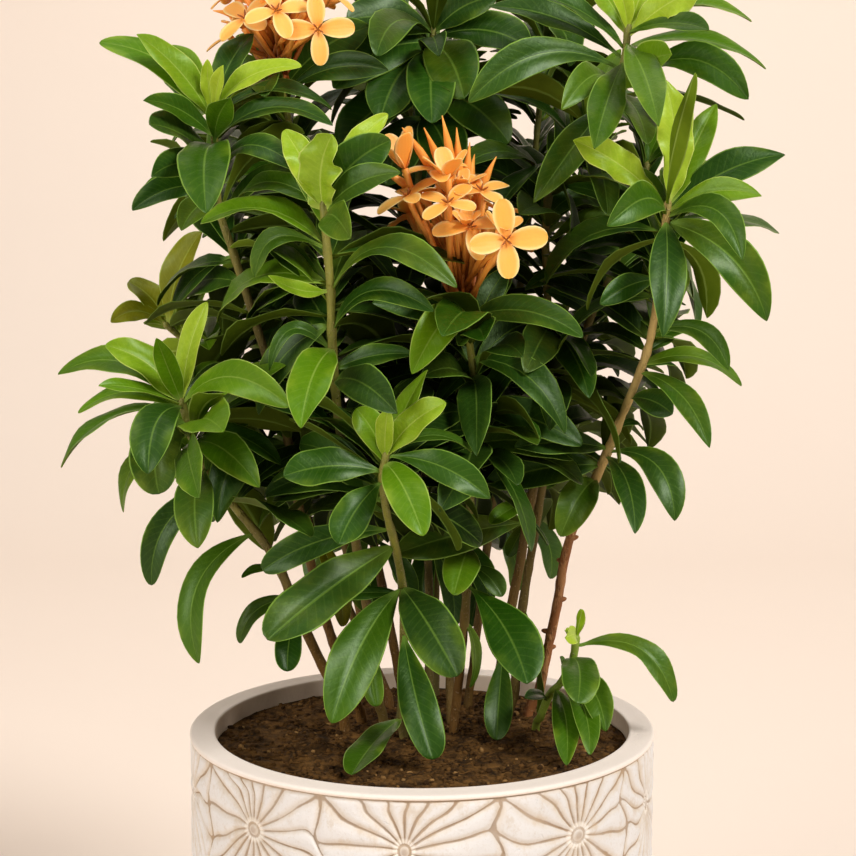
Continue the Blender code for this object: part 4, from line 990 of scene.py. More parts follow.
def add_leaf(surface, leaf, blade, draw, yellowed=False, crumpled=False):
    """A leaf. Its thickness falls off towards the margins, and a midrib stands out below: a bell of the
    distance from the middle, lower towards the tip."""
    t, u = blade.t, blade.u
    centres, sides, faces = leaf_rows(leaf, t, draw)
    half = leaf_half_width(leaf, t, draw)
    rise = half[:, None] * leaf_rise(leaf, t[:, None], u, draw, crumpled)
    rib = np.exp(-(u * half[:, None] / RIB_WIDTH) ** 2) * (1 - 0.8 * t[:, None])
    thick = LEAF_THICKNESS * (1 - 0.55 * np.abs(u)) + RIB_HEIGHT * rib
    points = blade.points(centres, sides, faces, half, rise + LEAF_THICKNESS / 2, thick)
    data = (leaf.tone, draw.random(), draw.random() + 2.0 * yellowed)
    slots = (2 * blade.quads_below, 2 * blade.triangles_below)
    surface.add(points, blade.quads, blade.triangles, blade.uvs, data, slots)


def curve_through(points, step):
    """Points about a step apart on a smooth curve through the given ones, and each one's share of it. Each
    span is the cubic whose slope at either end is half the way between the neighbours."""
    p = np.array([tuple(x) for x in points])
    p = np.concatenate([2 * p[:1] - p[1:2], p, 2 * p[-1:] - p[-2:-1]])
    found, shares = [], []
    spans = len(p) - 3
    for i in range(spans):
        count = max(2, int(round(np.linalg.norm(p[i + 2] - p[i + 1]) / step)))
        s = (np.arange(count) / count)[:, None]
        a, b, c, d = p[i], p[i + 1], p[i + 2], p[i + 3]
        found.append(0.5 * (2 * b + (c - a) * s + (2 * a - 5 * b + 4 * c - d) * s ** 2
                            + (3 * b - 3 * c + d - a) * s ** 3))
        shares.append((i + s[:, 0]) / spans)
    return np.concatenate(found + [p[-2:-1]]), np.concatenate(shares + [[1.0]])


def bezier(a, b, c, count):
    """Points of the curve a*(1-s)^2 + 2*b*s*(1-s) + c*s^2, with s from 0 to 1."""
    s = np.linspace(0, 1, count)[:, None]
    return a * (1 - s) ** 2 + 2 * b * s * (1 - s) + c * s ** 2


def add_tube(surface, centres, radii, sides, data, slot=1, pointed=True):
    """A round tube along the centres, with closed ends. On each ring a point lies at the radius times the
    cosine of its turn across the line, plus the radius times the sine square to that."""
    directions = unit(np.gradient(centres, axis=0))
    across = unit(np.cross(directions[0], [0.31, 0.72, 0.62]))
    turn = 2 * math.pi * np.arange(sides)[:, None] / sides
    rings = []
    for centre, along, radius in zip(centres, directions, radii):
        across = unit(across - along * across.dot(along))
        other = np.cross(along, across)
        rings.append(centre + (across * np.cos(turn) + other * np.sin(turn)) * radius)
    reach = radii[-1] * (1.6 if pointed else 0.3)
    points = np.concatenate(rings + [centres[:1], centres[-1:] + directions[-1] * reach])
    k = np.arange(sides)
    low, high = len(points) - 2, len(points) - 1
    triangles = np.concatenate([turned_over(fan(low, k)), fan(high, (len(centres) - 1) * sides + k)])
    share = np.concatenate([np.repeat(np.linspace(0, 1, len(centres)), sides), [0, 1]])
    uvs = np.stack([np.concatenate([np.tile(k / sides, len(centres)), [0, 0]]), share], -1)
    data = np.asarray(data, float)
    if data.ndim == 2:
        data = np.concatenate([np.repeat(data, sides, axis=0), data[:1], data[-1:]])
    surface.add(points, ring_quads(len(centres), sides), triangles, uvs, data, (slot, slot))


def add_stem(surface, stem, row, leaves, draw):
    """The stem. Its radius runs evenly from foot to tip, is up to a fifth larger where a leaf is borne, by a
    bell of the distance to it, and varies a little by two sines along the rings."""
    centres, shares = curve_through(stem.centres, STEM_RING_STEP)
    radii = STEM_SWELL * (stem.base_radius + (stem.tip_radius - stem.base_radius) * shares)
    number = np.arange(len(radii))
    swell = np.zeros(len(radii))
    for leaf in leaves:
        near = np.linalg.norm(centres - array(leaf.base), axis=1)
        swell = np.maximum(swell, 0.2 * np.exp(-(near / (2.5 * MM)) ** 2))
    radii *= (1 + swell) * (1 + 0.05 * np.sin(number * 1.9 + draw.uniform(0, 6)))
    radii *= 1 + 0.04 * row["bark"] * np.sin(number * 2.7)
    data = np.stack([shares, np.full(len(shares), row["bark"]), np.full(len(shares), draw.random())], -1)
    add_tube(surface, centres, radii, STEM_ROUND, data)


def add_bark_knob(surface, stem, x, z, near, draw):
    """A small scar of a lost leaf, on the side of a stem: a short tube that narrows outwards."""
    out = array(seen(x, z, near))
    start = array(stem.at(z - 0.8))
    way = unit(out - start)
    centres = start + way * np.array([0.0, 0.45, 0.75, 0.95])[:, None] * np.linalg.norm(out - start)
    add_tube(surface, centres, np.array([1.6, 1.3, 1.0, 0.5]) * MM, 6, (0.3, 1.0, draw.random()), 1, False)


def add_petal(surface, root, way, axis, length, width, curl, draw):
    """A petal, half as wide as its width times (t/a)^0.75 * ((1-t)/(1-a))^0.5, with its widest place at a.
    Its centre line leaves along the way, rises by 0.1*t and curls back by the curl times t^2. It is cupped
    by u^2, and creased along its middle."""
    t, u = PETAL_BLADE.t, PETAL_BLADE.u
    half = width / 2 * ((t / PETAL_WIDEST) ** 0.75 * ((1 - t) / (1 - PETAL_WIDEST)) ** 0.5)
    half = np.where(t < 0.2, np.maximum(half, 0.6 * MM), half)
    side = unit(np.cross(way, axis))
    centres = root + way * (length * t)[:, None] + axis * (length * (0.1 * t - curl * t ** 2))[:, None]
    directions = way + axis * (0.1 - 2 * curl * t)[:, None]
    sides = np.broadcast_to(side, centres.shape)
    faces = unit(np.cross(sides, directions))
    cup = 0.16 * u ** 2 * half[:, None] + 0.1 * MM * np.sin(3 * u + draw.uniform(0, 6))
    crease = -0.12 * MM * np.exp(-(u / 0.2) ** 2) * (t > 0)[:, None]
    thick = 0.34 * MM * (1 - 0.5 * np.abs(u)) * np.ones((len(t), 1))
    points = PETAL_BLADE.points(centres, sides, faces, half, cup + crease, thick)
    under = PETAL_BLADE.points_below
    data = np.stack([np.zeros(len(under)), np.full(len(under), draw.random()), under], -1)
    surface.add(points, PETAL_BLADE.quads, PETAL_BLADE.triangles, PETAL_BLADE.uvs, data)


def tube_data(depth, draw):
    """Data of a tube's rings: how deep in the head each one lies, which sets its painted shade, one chance
    for all, and no stalk.
    """
    return np.stack([depth, np.full(len(depth), draw.random()), np.zeros(len(depth))], -1)


def add_flower(surface, head, row, draw, rise=0.0):
    """An open flower: a long slim tube, four petals on its mouth and four short stamens. The petals stand
    up from the mouth by the rise, and each is spun a quarter turn on from the last."""
    x, z, near, turned, length, spin = row
    centre = seen(x, z, near)
    outward = (centre - head.start).normalized()
    to_view = (VIEWPOINT - centre).normalized()
    upward = Vector((0.0, 0.0, 0.7 * (1 - turned)))
    axis = (outward.lerp(to_view, turned ** 2) + upward).normalized()
    level = Vector((1.0, 0.0, 0.0))
    across = array((level - axis * level.dot(axis)).normalized())
    axis, centre, start = array(axis), array(centre), array(head.start)
    other = np.cross(axis, across)
    middle = centre - axis * np.linalg.norm(centre - start) * 0.4
    shares = np.linspace(0, 1, 8)
    data = tube_data(0.3 + 0.7 * (1 - shares), draw)
    radii = (0.95 + 0.15 * shares + 0.4 * shares ** 6) * MM
    add_tube(surface, bezier(start, middle, centre, 8), radii, 8, data, 1, False)
    curl = draw.uniform(0.1, 0.4)
    for k in range(4):
        turn = math.radians(spin + 90 * k + draw.uniform(-7, 7))
        lean = rise + draw.uniform(0.0, 0.3)
        way = unit(across * math.cos(turn) + other * math.sin(turn) + axis * lean)
        size = length * MM * draw.uniform(0.92, 1.05)
        width = size * draw.uniform(0.5, 0.6)
        add_petal(surface, centre - axis * 0.2 * MM, way, axis, size, width, curl, draw)
        turn += math.pi / 4
        tilt = unit(across * math.cos(turn) + other * math.sin(turn) + axis * 0.9)
        stamen = centre + tilt * (np.linspace(0, 3.2, 4) * MM)[:, None]
        add_tube(surface, stamen, np.array([0.25, 0.3, 0.42, 0.25]) * MM, 5, (0.8, draw.random(), 0.0))


def add_bud(surface, head, row, draw):
    """A long closed bud: a slim tube, a spindle of folded petals and a point. Its radius is the tube's plus
    a bell about 0.78 of its length, and runs out at the tip."""
    tip, start = array(seen(*row)), array(head.start)
    middle = start + array(head.core_way) * np.linalg.norm(tip - start) * 0.5
    s = np.linspace(0, 1, 14)
    swell = np.exp(-((s - 0.78) / 0.2) ** 2)
    radii = (0.75 + 1.15 * swell) * np.clip((1.01 - s) / 0.17, 0.1, 1) ** 0.7 * MM
    data = tube_data(np.clip(1.1 - 1.1 * s, 0.15, 1), draw)
    add_tube(surface, bezier(start, middle, tip, 14), radii, 8, data)


def fill_head(surface, head, row, draw):
    """Bare tubes and half open flowers, packed between the open flowers."""
    centres = [seen(*f[:3]) for f in row["flowers"]]
    shares = np.linspace(0, 1, 7)
    for _ in range(PACKED_TUBES):
        one, other = draw.sample(centres, 2)
        end = head.start.lerp(one.lerp(other, draw.random()), draw.uniform(0.72, 0.95))
        aside = Vector([draw.uniform(-1, 1) for _ in range(3)])
        foot = head.root + head.core_way * CORE_LENGTH * draw.uniform(0.05, 0.5) + aside * 0.7 * CORE_RADIUS
        middle = foot.lerp(end, 0.45) + aside * 3 * MM
        data = tube_data(0.25 + 0.75 * (1 - shares), draw)
        line = bezier(array(foot), array(middle), array(end), 7)
        add_tube(surface, line, (1.0 + 0.35 * shares ** 3) * MM, 7, data, 1, False)
    for _ in range(HALF_OPEN):
        (x, z, near, turned, *_), (x2, z2, near2, *_) = draw.sample(row["flowers"], 2)
        share = draw.uniform(0.2, 0.8)
        place = (x + (x2 - x) * share, z + (z2 - z) * share - 2, near + (near2 - near) * share - 3)
        flower = (*place, turned * 0.3, 11, draw.uniform(0, 90))
        add_flower(surface, head, flower, draw, draw.uniform(0.5, 1.6))


def add_core(surface, head):
    """The stalk that the flower tubes part from, as a tube through the foot and two points of the core."""
    line = [head.root, head.foot, *(head.foot + head.core_way * CORE_LENGTH * f for f in (0.3, 0.6))]
    line = np.array([array(point) for point in line])
    add_tube(surface, line, np.array([1.5, 1.9, 3.2, 1.6]) * MM, 10, (1.0, 0.5, 1.0))


def grid_noise(x, y, cell, seed):
    """Smooth noise from -1 to 1 with bumps about a cell wide: seeded random values at the corners of square
    cells, and between them their mean, weighted by 3*f^2 - 2*f^3 of the place in the cell."""
    lattice = np.random.default_rng(seed).uniform(-1, 1, (256, 256))
    gx, gy = x / cell + 97.3, y / cell + 61.7
    ix, iy = np.floor(gx).astype(int), np.floor(gy).astype(int)
    fx, fy = gx - ix, gy - iy
    fx, fy = fx * fx * (3 - 2 * fx), fy * fy * (3 - 2 * fy)
    a, b = lattice[ix % 256, iy % 256], lattice[(ix + 1) % 256, iy % 256]
    c, d = lattice[ix % 256, (iy + 1) % 256], lattice[(ix + 1) % 256, (iy + 1) % 256]
    return (a * (1 - fx) + b * fx) * (1 - fy) + (c * (1 - fx) + d * fx) * fy


def soil_height(x, y):
    """The uneven top of the soil: broad swells, clods and crumbs, flat against the wall."""
    reach = np.hypot(x, y)
    bumps = 1.3 * grid_noise(x, y, 22 * MM, 1) + 0.9 * grid_noise(x, y, 8 * MM, 2)
    bumps += 0.6 * grid_noise(x, y, 3.4 * MM, 3) + 0.35 * grid_noise(x, y, 1.7 * MM, 4)
    return SOIL_LEVEL + bumps * MM * np.clip((SOIL_RADIUS - reach) / (6 * MM), 0.25, 1)


def spot_on_soil(draw, share):
    """A random place within a share of the soil's radius: the root of a random number spreads them evenly."""
    reach, turn = share * SOIL_RADIUS * draw.random() ** 0.5, draw.uniform(0, 2 * math.pi)
    return reach * math.cos(turn), reach * math.sin(turn)


def add_soil_body(surface):
    """The plug of soil: rings of its top from the middle out, at the soil's height, then a straight side."""
    radius = SOIL_RADIUS * (np.arange(1, SOIL_RINGS + 1) / SOIL_RINGS)
    k = np.arange(SOIL_AROUND)
    turn = 2 * math.pi * k / SOIL_AROUND
    x, y = radius[:, None] * np.cos(turn), radius[:, None] * np.sin(turn)
    top = np.stack([x, y, soil_height(x, y)], -1).reshape(-1, 3)
    last = top[-SOIL_AROUND:].copy()
    last[:, 2] = POT_FLOOR + GAP
    middle = float(soil_height(np.array(0.0), np.array(0.0)))
    points = np.concatenate([top, last, [(0, 0, middle), (0, 0, POT_FLOOR + GAP)]])
    low, high = len(points) - 1, len(points) - 2
    quads = turned_over(ring_quads(SOIL_RINGS + 1, SOIL_AROUND))
    triangles = np.concatenate([fan(high, k), turned_over(fan(low, SOIL_RINGS * SOIL_AROUND + k))])
    surface.add(points, quads, triangles, points[:, :2] * 5 + 0.5, (0, 0, 0))


def add_crumbs(surface, draw):
    """Loose crumbs and chips: twenty-sided grains with each corner moved in or out, stretched and turned."""
    g = (1 + 5 ** 0.5) / 2
    corners = unit(np.array([(-1, g, 0), (1, g, 0), (-1, -g, 0), (1, -g, 0), (0, -1, g), (0, 1, g),
                             (0, -1, -g), (0, 1, -g), (g, 0, -1), (g, 0, 1), (-g, 0, -1), (-g, 0, 1)]))
    sides = np.array([(0, 11, 5), (0, 5, 1), (0, 1, 7), (0, 7, 10), (0, 10, 11), (1, 5, 9), (5, 11, 4),
                      (11, 10, 2), (10, 7, 6), (7, 1, 8), (3, 9, 4), (3, 4, 2), (3, 2, 6), (3, 6, 8),
                      (3, 8, 9), (4, 9, 5), (2, 4, 11), (6, 2, 10), (8, 6, 7), (9, 8, 1)])
    for _ in range(CRUMBS):
        x, y = spot_on_soil(draw, 0.985)
        size = draw.uniform(0.5, 1.0) ** 2.6 * 1.5 * MM
        stretch = draw.uniform(0.6, 1.5, 3) * (1, 1, 0.7)
        spin = draw.uniform(0, 2 * math.pi)
        cos, sin = math.cos(spin), math.sin(spin)
        grain = corners * (1 + draw.uniform(-0.25, 0.25, (12, 1))) * stretch * size
        grain = grain @ np.array(((cos, -sin, 0), (sin, cos, 0), (0, 0, 1)))
        place = (x, y, float(soil_height(np.array(x), np.array(y))) + size * 0.2)
        surface.add(grain + place, [], sides, (0.5, 0.5), (draw.random(), draw.random(), 1))


def add_fibres(surface, draw):
    """Thin curved fibres that lie on the soil: a line along the heading, bent by the square of the way."""
    for _ in range(FIBRES):
        x, y = spot_on_soil(draw, 0.95)
        heading, half = draw.uniform(0, math.pi), draw.uniform(1.5, 4.5) * MM
        s = np.array([-1, -0.3, 0.4, 1.0])
        x = x + s * half * math.cos(heading)
        y = y + s * half * math.sin(heading) + s ** 2 * draw.uniform(-1, 1) * MM
        line = np.stack([x, y, soil_height(x, y) + 0.25 * MM], -1)
        radii = np.full(4, draw.uniform(0.16, 0.34) * MM)
        add_tube(surface, line, radii, 5, (draw.random(), 0.9, 1), 0, False)


def make_soil(materials):
    surface = Surface()
    add_soil_body(surface)
    draw = np.random.default_rng(SOIL_SEED)
    add_crumbs(surface, draw)
    add_fibres(surface, draw)
    surface.build("soil_surface", materials, "soil")


def smooth_step(low, high, x):
    """From 0 at low to 1 at high: 3*s^2 - 2*s^3, with s the share of the way."""
    s = np.clip((x - low) / (high - low), 0, 1)
    return s * s * (3 - 2 * s)


def cell_rim():
    """Points round the rim of a six-sided cell, about its middle, and where each lies across its petal, from
    -1 to 1. Then half the length of a cell's upright edge, and the distance between cells in a row. The
    sides follow from that distance and the rows', so that the cells fill the unrolled wall."""
    pitch = GIRTH / FLOWERS_AROUND
    side = (ROW_SPACING ** 2 - pitch ** 2 / 4) / (2 * ROW_SPACING)
    point = (ROW_SPACING ** 2 + pitch ** 2 / 4) / (2 * ROW_SPACING)
    half = pitch / 2
    corners = np.array([(half, -side), (half, side), (0, point), (-half, side), (-half, -side), (0, -point)])
    across = np.array(PETAL_POINTS)
    share = (np.arange(PETALS_PER_EDGE)[:, None] + across).ravel() / PETALS_PER_EDGE
    ahead = np.roll(corners, -1, axis=0)
    rim = (corners[:, None] + (ahead - corners)[:, None] * share[None, :, None]).reshape(-1, 2)
    return rim, np.tile(across * 2 - 1, 6 * PETALS_PER_EDGE), side, pitch


def off_line(spots, way):
    """How far points lie off the line from the middle along a way: the size of their cross product."""
    return np.abs(spots[..., 0] * way[:, 1] - spots[..., 1] * way[:, 0])


def carved_cell(rim, lateral, edge):
    """One cell's points, ring by ring, as (x, z, distance to the nearest groove, distance from the eye, how
    near the rim, from 0 to 1), and last its middle. The edge is the rim, where the band's edge cuts it off.

    The distance is the smallest of those to the line between two petals, which is made larger near the eye
    so that these grooves thin out, to the petal's tip, rounded by the fourth power, and to the eye's ring."""
    full_reach = np.linalg.norm(rim, axis=1)
    reach = np.linalg.norm(edge, axis=1)
    way = edge / reach[:, None]
    inner = np.array(EYE_RINGS)[:, None] * MM
    outer = inner[-1] + (reach - inner[-1]) * np.array(PETAL_RINGS)[:, None]
    radial = np.concatenate([np.broadcast_to(inner, (len(inner), len(rim))), outer])
    spots = way * radial[..., None]
    petal_start = np.arange(len(rim)) // len(PETAL_POINTS) * len(PETAL_POINTS)
    petal_end = (petal_start + len(PETAL_POINTS)) % len(rim)
    to_side = np.minimum(off_line(spots, way[petal_start]), off_line(spots, way[petal_end]))
    to_side = to_side * (1 + EYE_REACH / (radial + EYE_REACH / 2)) + np.maximum(0, EYE_REACH - radial)
    cut_off = np.abs(full_reach - reach) > 1e-6
    tip = np.where(cut_off, CUT_OFF_END, PETAL_END - PETAL_ROUNDING * np.abs(lateral) ** 4)
    to_tip = (tip - radial / reach) * reach * 1.3
    to_ring = np.abs(radial - EYE_RADIUS) + 0.1 * MM
    distance = np.minimum(np.minimum(to_side, to_tip), to_ring)
    columns = spots[..., 0], spots[..., 1], distance, radial, (radial / full_reach) ** 3
    return np.concatenate([np.stack([c.ravel() for c in columns], -1), [(0, 0, EYE_RADIUS, 0, 0)]])


def merged(net, quads, triangles):
    """The net with the points that cells share made one, also where its two ends meet. Places are compared
    in steps of 0.002 mm, moved a little so that none lies between two steps."""
    step = 0.002 * MM
    places = np.stack([np.mod(net[:, 0] + 0.3137 * MM, GIRTH), net[:, 1] + 0.00137 * MM], -1)
    key = np.round(places / step)
    key[:, 0] = np.mod(key[:, 0], round(GIRTH / step))
    _, first, index = np.unique(key, axis=0, return_index=True, return_inverse=True)
    index = index.reshape(-1)
    return net[first], index[quads], index[triangles]


def carved_net():
    """The unrolled wall as a net of cells in staggered rows, with its quads and triangles. Then the heights
    of its upper and lower edge, which cut the outermost cells off."""
    rim, lateral, side, pitch = cell_rim()
    rays, rings = len(rim), len(EYE_RINGS) + len(PETAL_RINGS)
    cell_quads = turned_over(ring_quads(rings, rays))
    cell_triangles = fan(rings * rays, np.arange(rays))
    net, quads, triangles = [], [], []
    for row in range(FLOWER_ROWS):
        edge = rim.copy()
        for up in [1] * (row == 0) + [-1] * (row == FLOWER_ROWS - 1):
            beyond = edge[:, 1] * up > side
            edge[beyond] *= side / (edge[beyond, 1:] * up)
        cell = carved_cell(rim, lateral, edge)
        for number in range(FLOWERS_AROUND):
            count = len(net) * len(cell)
            middle = (pitch * (number + 0.5 * (row % 2)), TOP_ROW_HEIGHT - row * ROW_SPACING)
            net.append(cell + (*middle, 0, 0, 0))
            quads.append(cell_quads + count)
            triangles.append(cell_triangles + count)
    high = TOP_ROW_HEIGHT + side
    low = TOP_ROW_HEIGHT - ROW_SPACING * (FLOWER_ROWS - 1) - side
    return *merged(*(np.concatenate(parts) for parts in (net, quads, triangles))), high, low


def swing(rows, phase, z):
    """The sum of the rows' waves, each its size times the sine of (waves*phase + z/length + start)."""
    return sum(size * np.sin(waves * phase + z / (up * MM) + start) for size, waves, up, start in rows)


def wrapped(net, high, low):
    """The net's points on the pot, and their turns about its axis. The radius is less by the groove, which
    runs out at its reach by a smooth step of the distance, and by the wide hollow. The swings fade out near
    the band's edges, and the pattern is drawn out and pressed together by a sine of twice the turn."""
    x, z, distance, _, bordering = net.T
    radius = POT_RADIUS - GROOVE_SHARE * CARVING_DEPTH * (1 - smooth_step(-0.1 * MM, GROOVE_REACH, distance))
    radius -= HOLLOW_SHARE * CARVING_DEPTH * (1 - smooth_step(0, HOLLOW_REACH, distance))
    phase = 2 * math.pi * x / GIRTH
    calm = smooth_step(0, CALM_REACH, np.minimum(high - z, z - low))
    shift_x = swing(SWINGS_ROUND, phase, z)
    shift_x += BORDER_SWING * bordering * np.sin(2 * math.pi * z / BORDER_WAVE + 0.6)
    shift_z = swing(SWINGS_UP, phase, z)
    shift_z += BORDER_SWING * bordering * np.sin(BORDER_WAVES * phase)
    turn = (x + shift_x * MM * calm) / POT_RADIUS + PATTERN_TURN
    turn = turn + PATTERN_SWELL * np.sin(2 * turn) - math.pi / 2
    return np.stack([radius * np.cos(turn), radius * np.sin(turn), z + shift_z * MM * calm], -1), turn


def plain_band(start, angle, count, profile, hub_height):
    """Rings of points that carry on from a ring of the wall along a profile, to a hub on the axis: points,
    quads, triangles and data. Count is the number that the first of its points will have."""
    radii, heights, grooves = (np.array(column, float)[:, None] for column in zip(*profile))
    sizes = (len(profile), len(start))
    columns = radii * MM * np.cos(angle), radii * MM * np.sin(angle), np.broadcast_to(heights * MM, sizes)
    points = np.concatenate([np.stack(columns, -1).reshape(-1, 3), [(0.0, 0.0, hub_height)]])
    marks = np.where(radii <= INSIDE_RADIUS, INSIDE_MARK, OUTSIDE_MARK)
    data = np.stack([np.broadcast_to(column, sizes).ravel() for column in (grooves, marks, 1.0)], -1)
    data = np.concatenate([data, [(profile[-1][2], OUTSIDE_MARK, 1.0)]])
    own = count + np.arange(sizes[0] * sizes[1]).reshape(sizes)
    grid = np.concatenate([start[None], own])
    quads = grid_quads(np.concatenate([grid, grid[:, :1]], axis=1))
    return points, quads, fan(count + own.size, own[-1]), data


def make_pot(materials):
    """The carved wall, carried on above by the rim and the inner wall and below by the foot. Each point's
    data are its distances to a groove and from an eye in millimetres, and whether it is plain."""
    net, quads, triangles, high, low = carved_net()
    points, turn = wrapped(net, high, low)
    data = np.stack([net[:, 2] / MM, net[:, 3] / MM, np.zeros(len(net))], -1)
    points, quads, triangles, data = [points], [quads], [triangles], [data]
    count = len(net)
    bands = ((high, RIM_PROFILE, POT_FLOOR, False), (low, FOOT_PROFILE, 0.0, True))
    for level, profile, hub_height, reverse in bands:
        start = np.flatnonzero(np.abs(net[:, 1] - level) < 0.001 * MM)
        start = start[np.argsort(np.mod(turn[start], 2 * math.pi))]
        angle = np.arctan2(points[0][start, 1], points[0][start, 0])
        band = plain_band(start, angle, count, profile, hub_height)
        count += len(band[0])
        points.append(band[0])
        quads.append(band[1][:, ::-1] if reverse else band[1])
        triangles.append(band[2][:, ::-1] if reverse else band[2])
        data.append(band[3])
    points, quads, triangles, data = (np.concatenate(parts) for parts in (points, quads, triangles, data))
    around = np.mod(np.arctan2(points[:, 1], points[:, 0]) / (2 * math.pi), 1)
    surface = Surface()
    surface.add(points, quads, triangles, np.stack([around, points[:, 2] / POT_HEIGHT], -1), data)
    surface.build("carved_pot", materials, "pot")


def linear(*levels):
    """A colour given in the usual 0 to 255 levels, as linear light."""
    return tuple(((c / 255 + 0.055) / 1.055) ** 2.4 if c > 10 else c / 255 / 12.92 for c in levels)


class Nodes:
    """Short calls that add nodes to a tree and link them."""

    def __init__(self, tree):
        self.tree = tree

    def node(self, kind, inputs=(), **settings):
        made = self.tree.nodes.new(kind)
        for name, value in settings.items():
            setattr(made, name, value)
        for name, value in dict(inputs).items():
            self.feed(made.inputs[name], value)
        return made

    def feed(self, socket, value):
        """Links an output to a socket, or sets the socket to a value. A colour is in 0 to 255 levels."""
        if isinstance(value, bpy.types.NodeSocket):
            self.tree.links.new(value, socket)
        elif socket.type == "RGBA":
            socket.default_value = (*linear(*value), 1.0)
        else:
            socket.default_value = value

    def math(self, operation, a, b=0.0, c=0.0):
        return self.node("ShaderNodeMath", {0: a, 1: b, 2: c}, operation=operation).outputs[0]

    def plus(self, a, b):
        return self.math("ADD", a, b)

    def times(self, a, b):
        return self.math("MULTIPLY", a, b)

    def scaled(self, x, factor, offset):
        return self.math("MULTIPLY_ADD", x, factor, offset)

    def mix(self, share, a, b):
        made = self.node("ShaderNodeMix", data_type="RGBA")
        for socket, value in zip((made.inputs[0], made.inputs[6], made.inputs[7]), (share, a, b)):
            self.feed(socket, value)
        return made.outputs[2]

    def tint(self, colour, *layers):
        """The colour under layers of (mask, strength, other colour), which each are mixed in where their mask
        is 1, as far as their strength."""
        for mask, strength, other in layers:
            colour = self.mix(self.times(mask, strength), colour, other)
        return colour

    def step(self, low, high, x, to_low=0.0, to_high=1.0):
        inputs = {0: x, 1: low, 2: high, 3: to_low, 4: to_high}
        return self.node("ShaderNodeMapRange", inputs, interpolation_type="SMOOTHSTEP").outputs[0]

    def kind(self):
        """The three numbers that each point of a piece carries."""
        vector = self.node("ShaderNodeAttribute", attribute_name="kind").outputs["Vector"]
        return self.node("ShaderNodeSeparateXYZ", {0: vector}).outputs


def effect_group(name, inputs, outputs):
    """A node group for an effect that several materials share, with its inputs and outputs in place."""
    tree = bpy.data.node_groups.new(name, "ShaderNodeTree")
    for label, value in inputs.items():
        kind = "NodeSocketVector" if isinstance(value, tuple) else "NodeSocketFloat"
        tree.interface.new_socket(name=label, in_out="INPUT", socket_type=kind).default_value = value
    for label in outputs:
        tree.interface.new_socket(name=label, in_out="OUTPUT", socket_type="NodeSocketFloat")
    given = tree.nodes.new("NodeGroupInput").outputs
    results = tree.nodes.new("NodeGroupOutput").inputs
    return Nodes(tree), given, results


def make_mottle_group():
    """Cloudy noise in the piece's own space, drawn out along an axis where the stretch is small."""
    inputs = {"Scale": 60.0, "Detail": 3.0, "Roughness": 0.5, "Stretch": (1.0, 1.0, 1.0)}
    nodes, given, results = effect_group("mottle", inputs, ["Value"])
    place = nodes.node("ShaderNodeTexCoord").outputs["Object"]
    place = nodes.node("ShaderNodeVectorMath", {0: place, 1: given["Stretch"]}, operation="MULTIPLY")
    settings = {label: given[label] for label in ("Scale", "Detail", "Roughness")}
    noise = nodes.node("ShaderNodeTexNoise", {"Vector": place.outputs[0], **settings})
    nodes.feed(results["Value"], noise.outputs[0])


def make_rib_and_margin_group():
    """Where a point lies on a leaf or petal: its place across and along, its distance from the midrib,
    which is 1 at the margin, and the masks of the midrib and the margin."""
    inputs = {"Rib Start": 0.015, "Rib End": 0.07, "Margin Start": 0.91, "Margin End": 0.99}
    outputs = ["Across", "Along", "Edge", "Rib", "Margin"]
    nodes, given, results = effect_group("rib_and_margin", inputs, outputs)
    place = nodes.node("ShaderNodeUVMap", uv_map="UVMap").outputs[0]
    across, along, _ = nodes.node("ShaderNodeSeparateXYZ", {0: place}).outputs
    edge = nodes.math("ABSOLUTE", nodes.scaled(across, 2.0, -1.0))
    rib = nodes.step(given["Rib Start"], given["Rib End"], edge, 1.0, 0.0)
    margin = nodes.step(given["Margin Start"], given["Margin End"], edge)
    for label, value in zip(outputs, (across, along, edge, rib, margin)):
        nodes.feed(results[label], value)


def make_leaf_age_and_shade_group():
    """How old a leaf is, as masks: painted shade on leaves inside the bush, grown, young, and how pale its
    rib and margin.
    """
    # The first mask is painted shade, full on leaves whose tone is -0.4 or less
    limits = {"Painted Shade": (0.0, -0.4), "Grown": (0.18, 0.6), "Young": (0.5, 1.0), "Pale": (0.2, 1.0)}
    nodes, _, results = effect_group("leaf_age_and_shade", {}, list(limits))
    tone = nodes.kind()[0]
    for label, (low, high) in limits.items():
        nodes.feed(results[label], nodes.step(low, high, tone))


class Shading(Nodes):
    """The nodes of one material, round its shader, whose plain settings are given by the sockets' names."""

    def __init__(self, name, settings=()):
        self.material = bpy.data.materials.new(name)
        self.material.use_nodes = True
        super().__init__(self.material.node_tree)
        self.shader = self.tree.nodes["Principled BSDF"]
        for label, value in dict(settings).items():
            self.shader.inputs[label].default_value = value

    def effect(self, name, inputs=()):
        return self.node("ShaderNodeGroup", inputs, node_tree=bpy.data.node_groups[name]).outputs

    def noise(self, scale, detail=3.0, roughness=0.5, stretch=(1.0, 1.0, 1.0)):
        inputs = {"Scale": scale, "Detail": detail, "Roughness": roughness, "Stretch": stretch}
        return self.effect("mottle", inputs)["Value"]

    def finish(self, colour, roughness, height=None, relief=0.001, strength=1.0):
        self.feed(self.shader.inputs["Base Color"], colour)
        self.feed(self.shader.inputs["Roughness"], roughness)
        if height is not None:
            bump = self.node("ShaderNodeBump", {"Strength": strength, "Distance": relief, "Height": height})
            self.feed(self.shader.inputs["Normal"], bump.outputs[0])
        return self.material


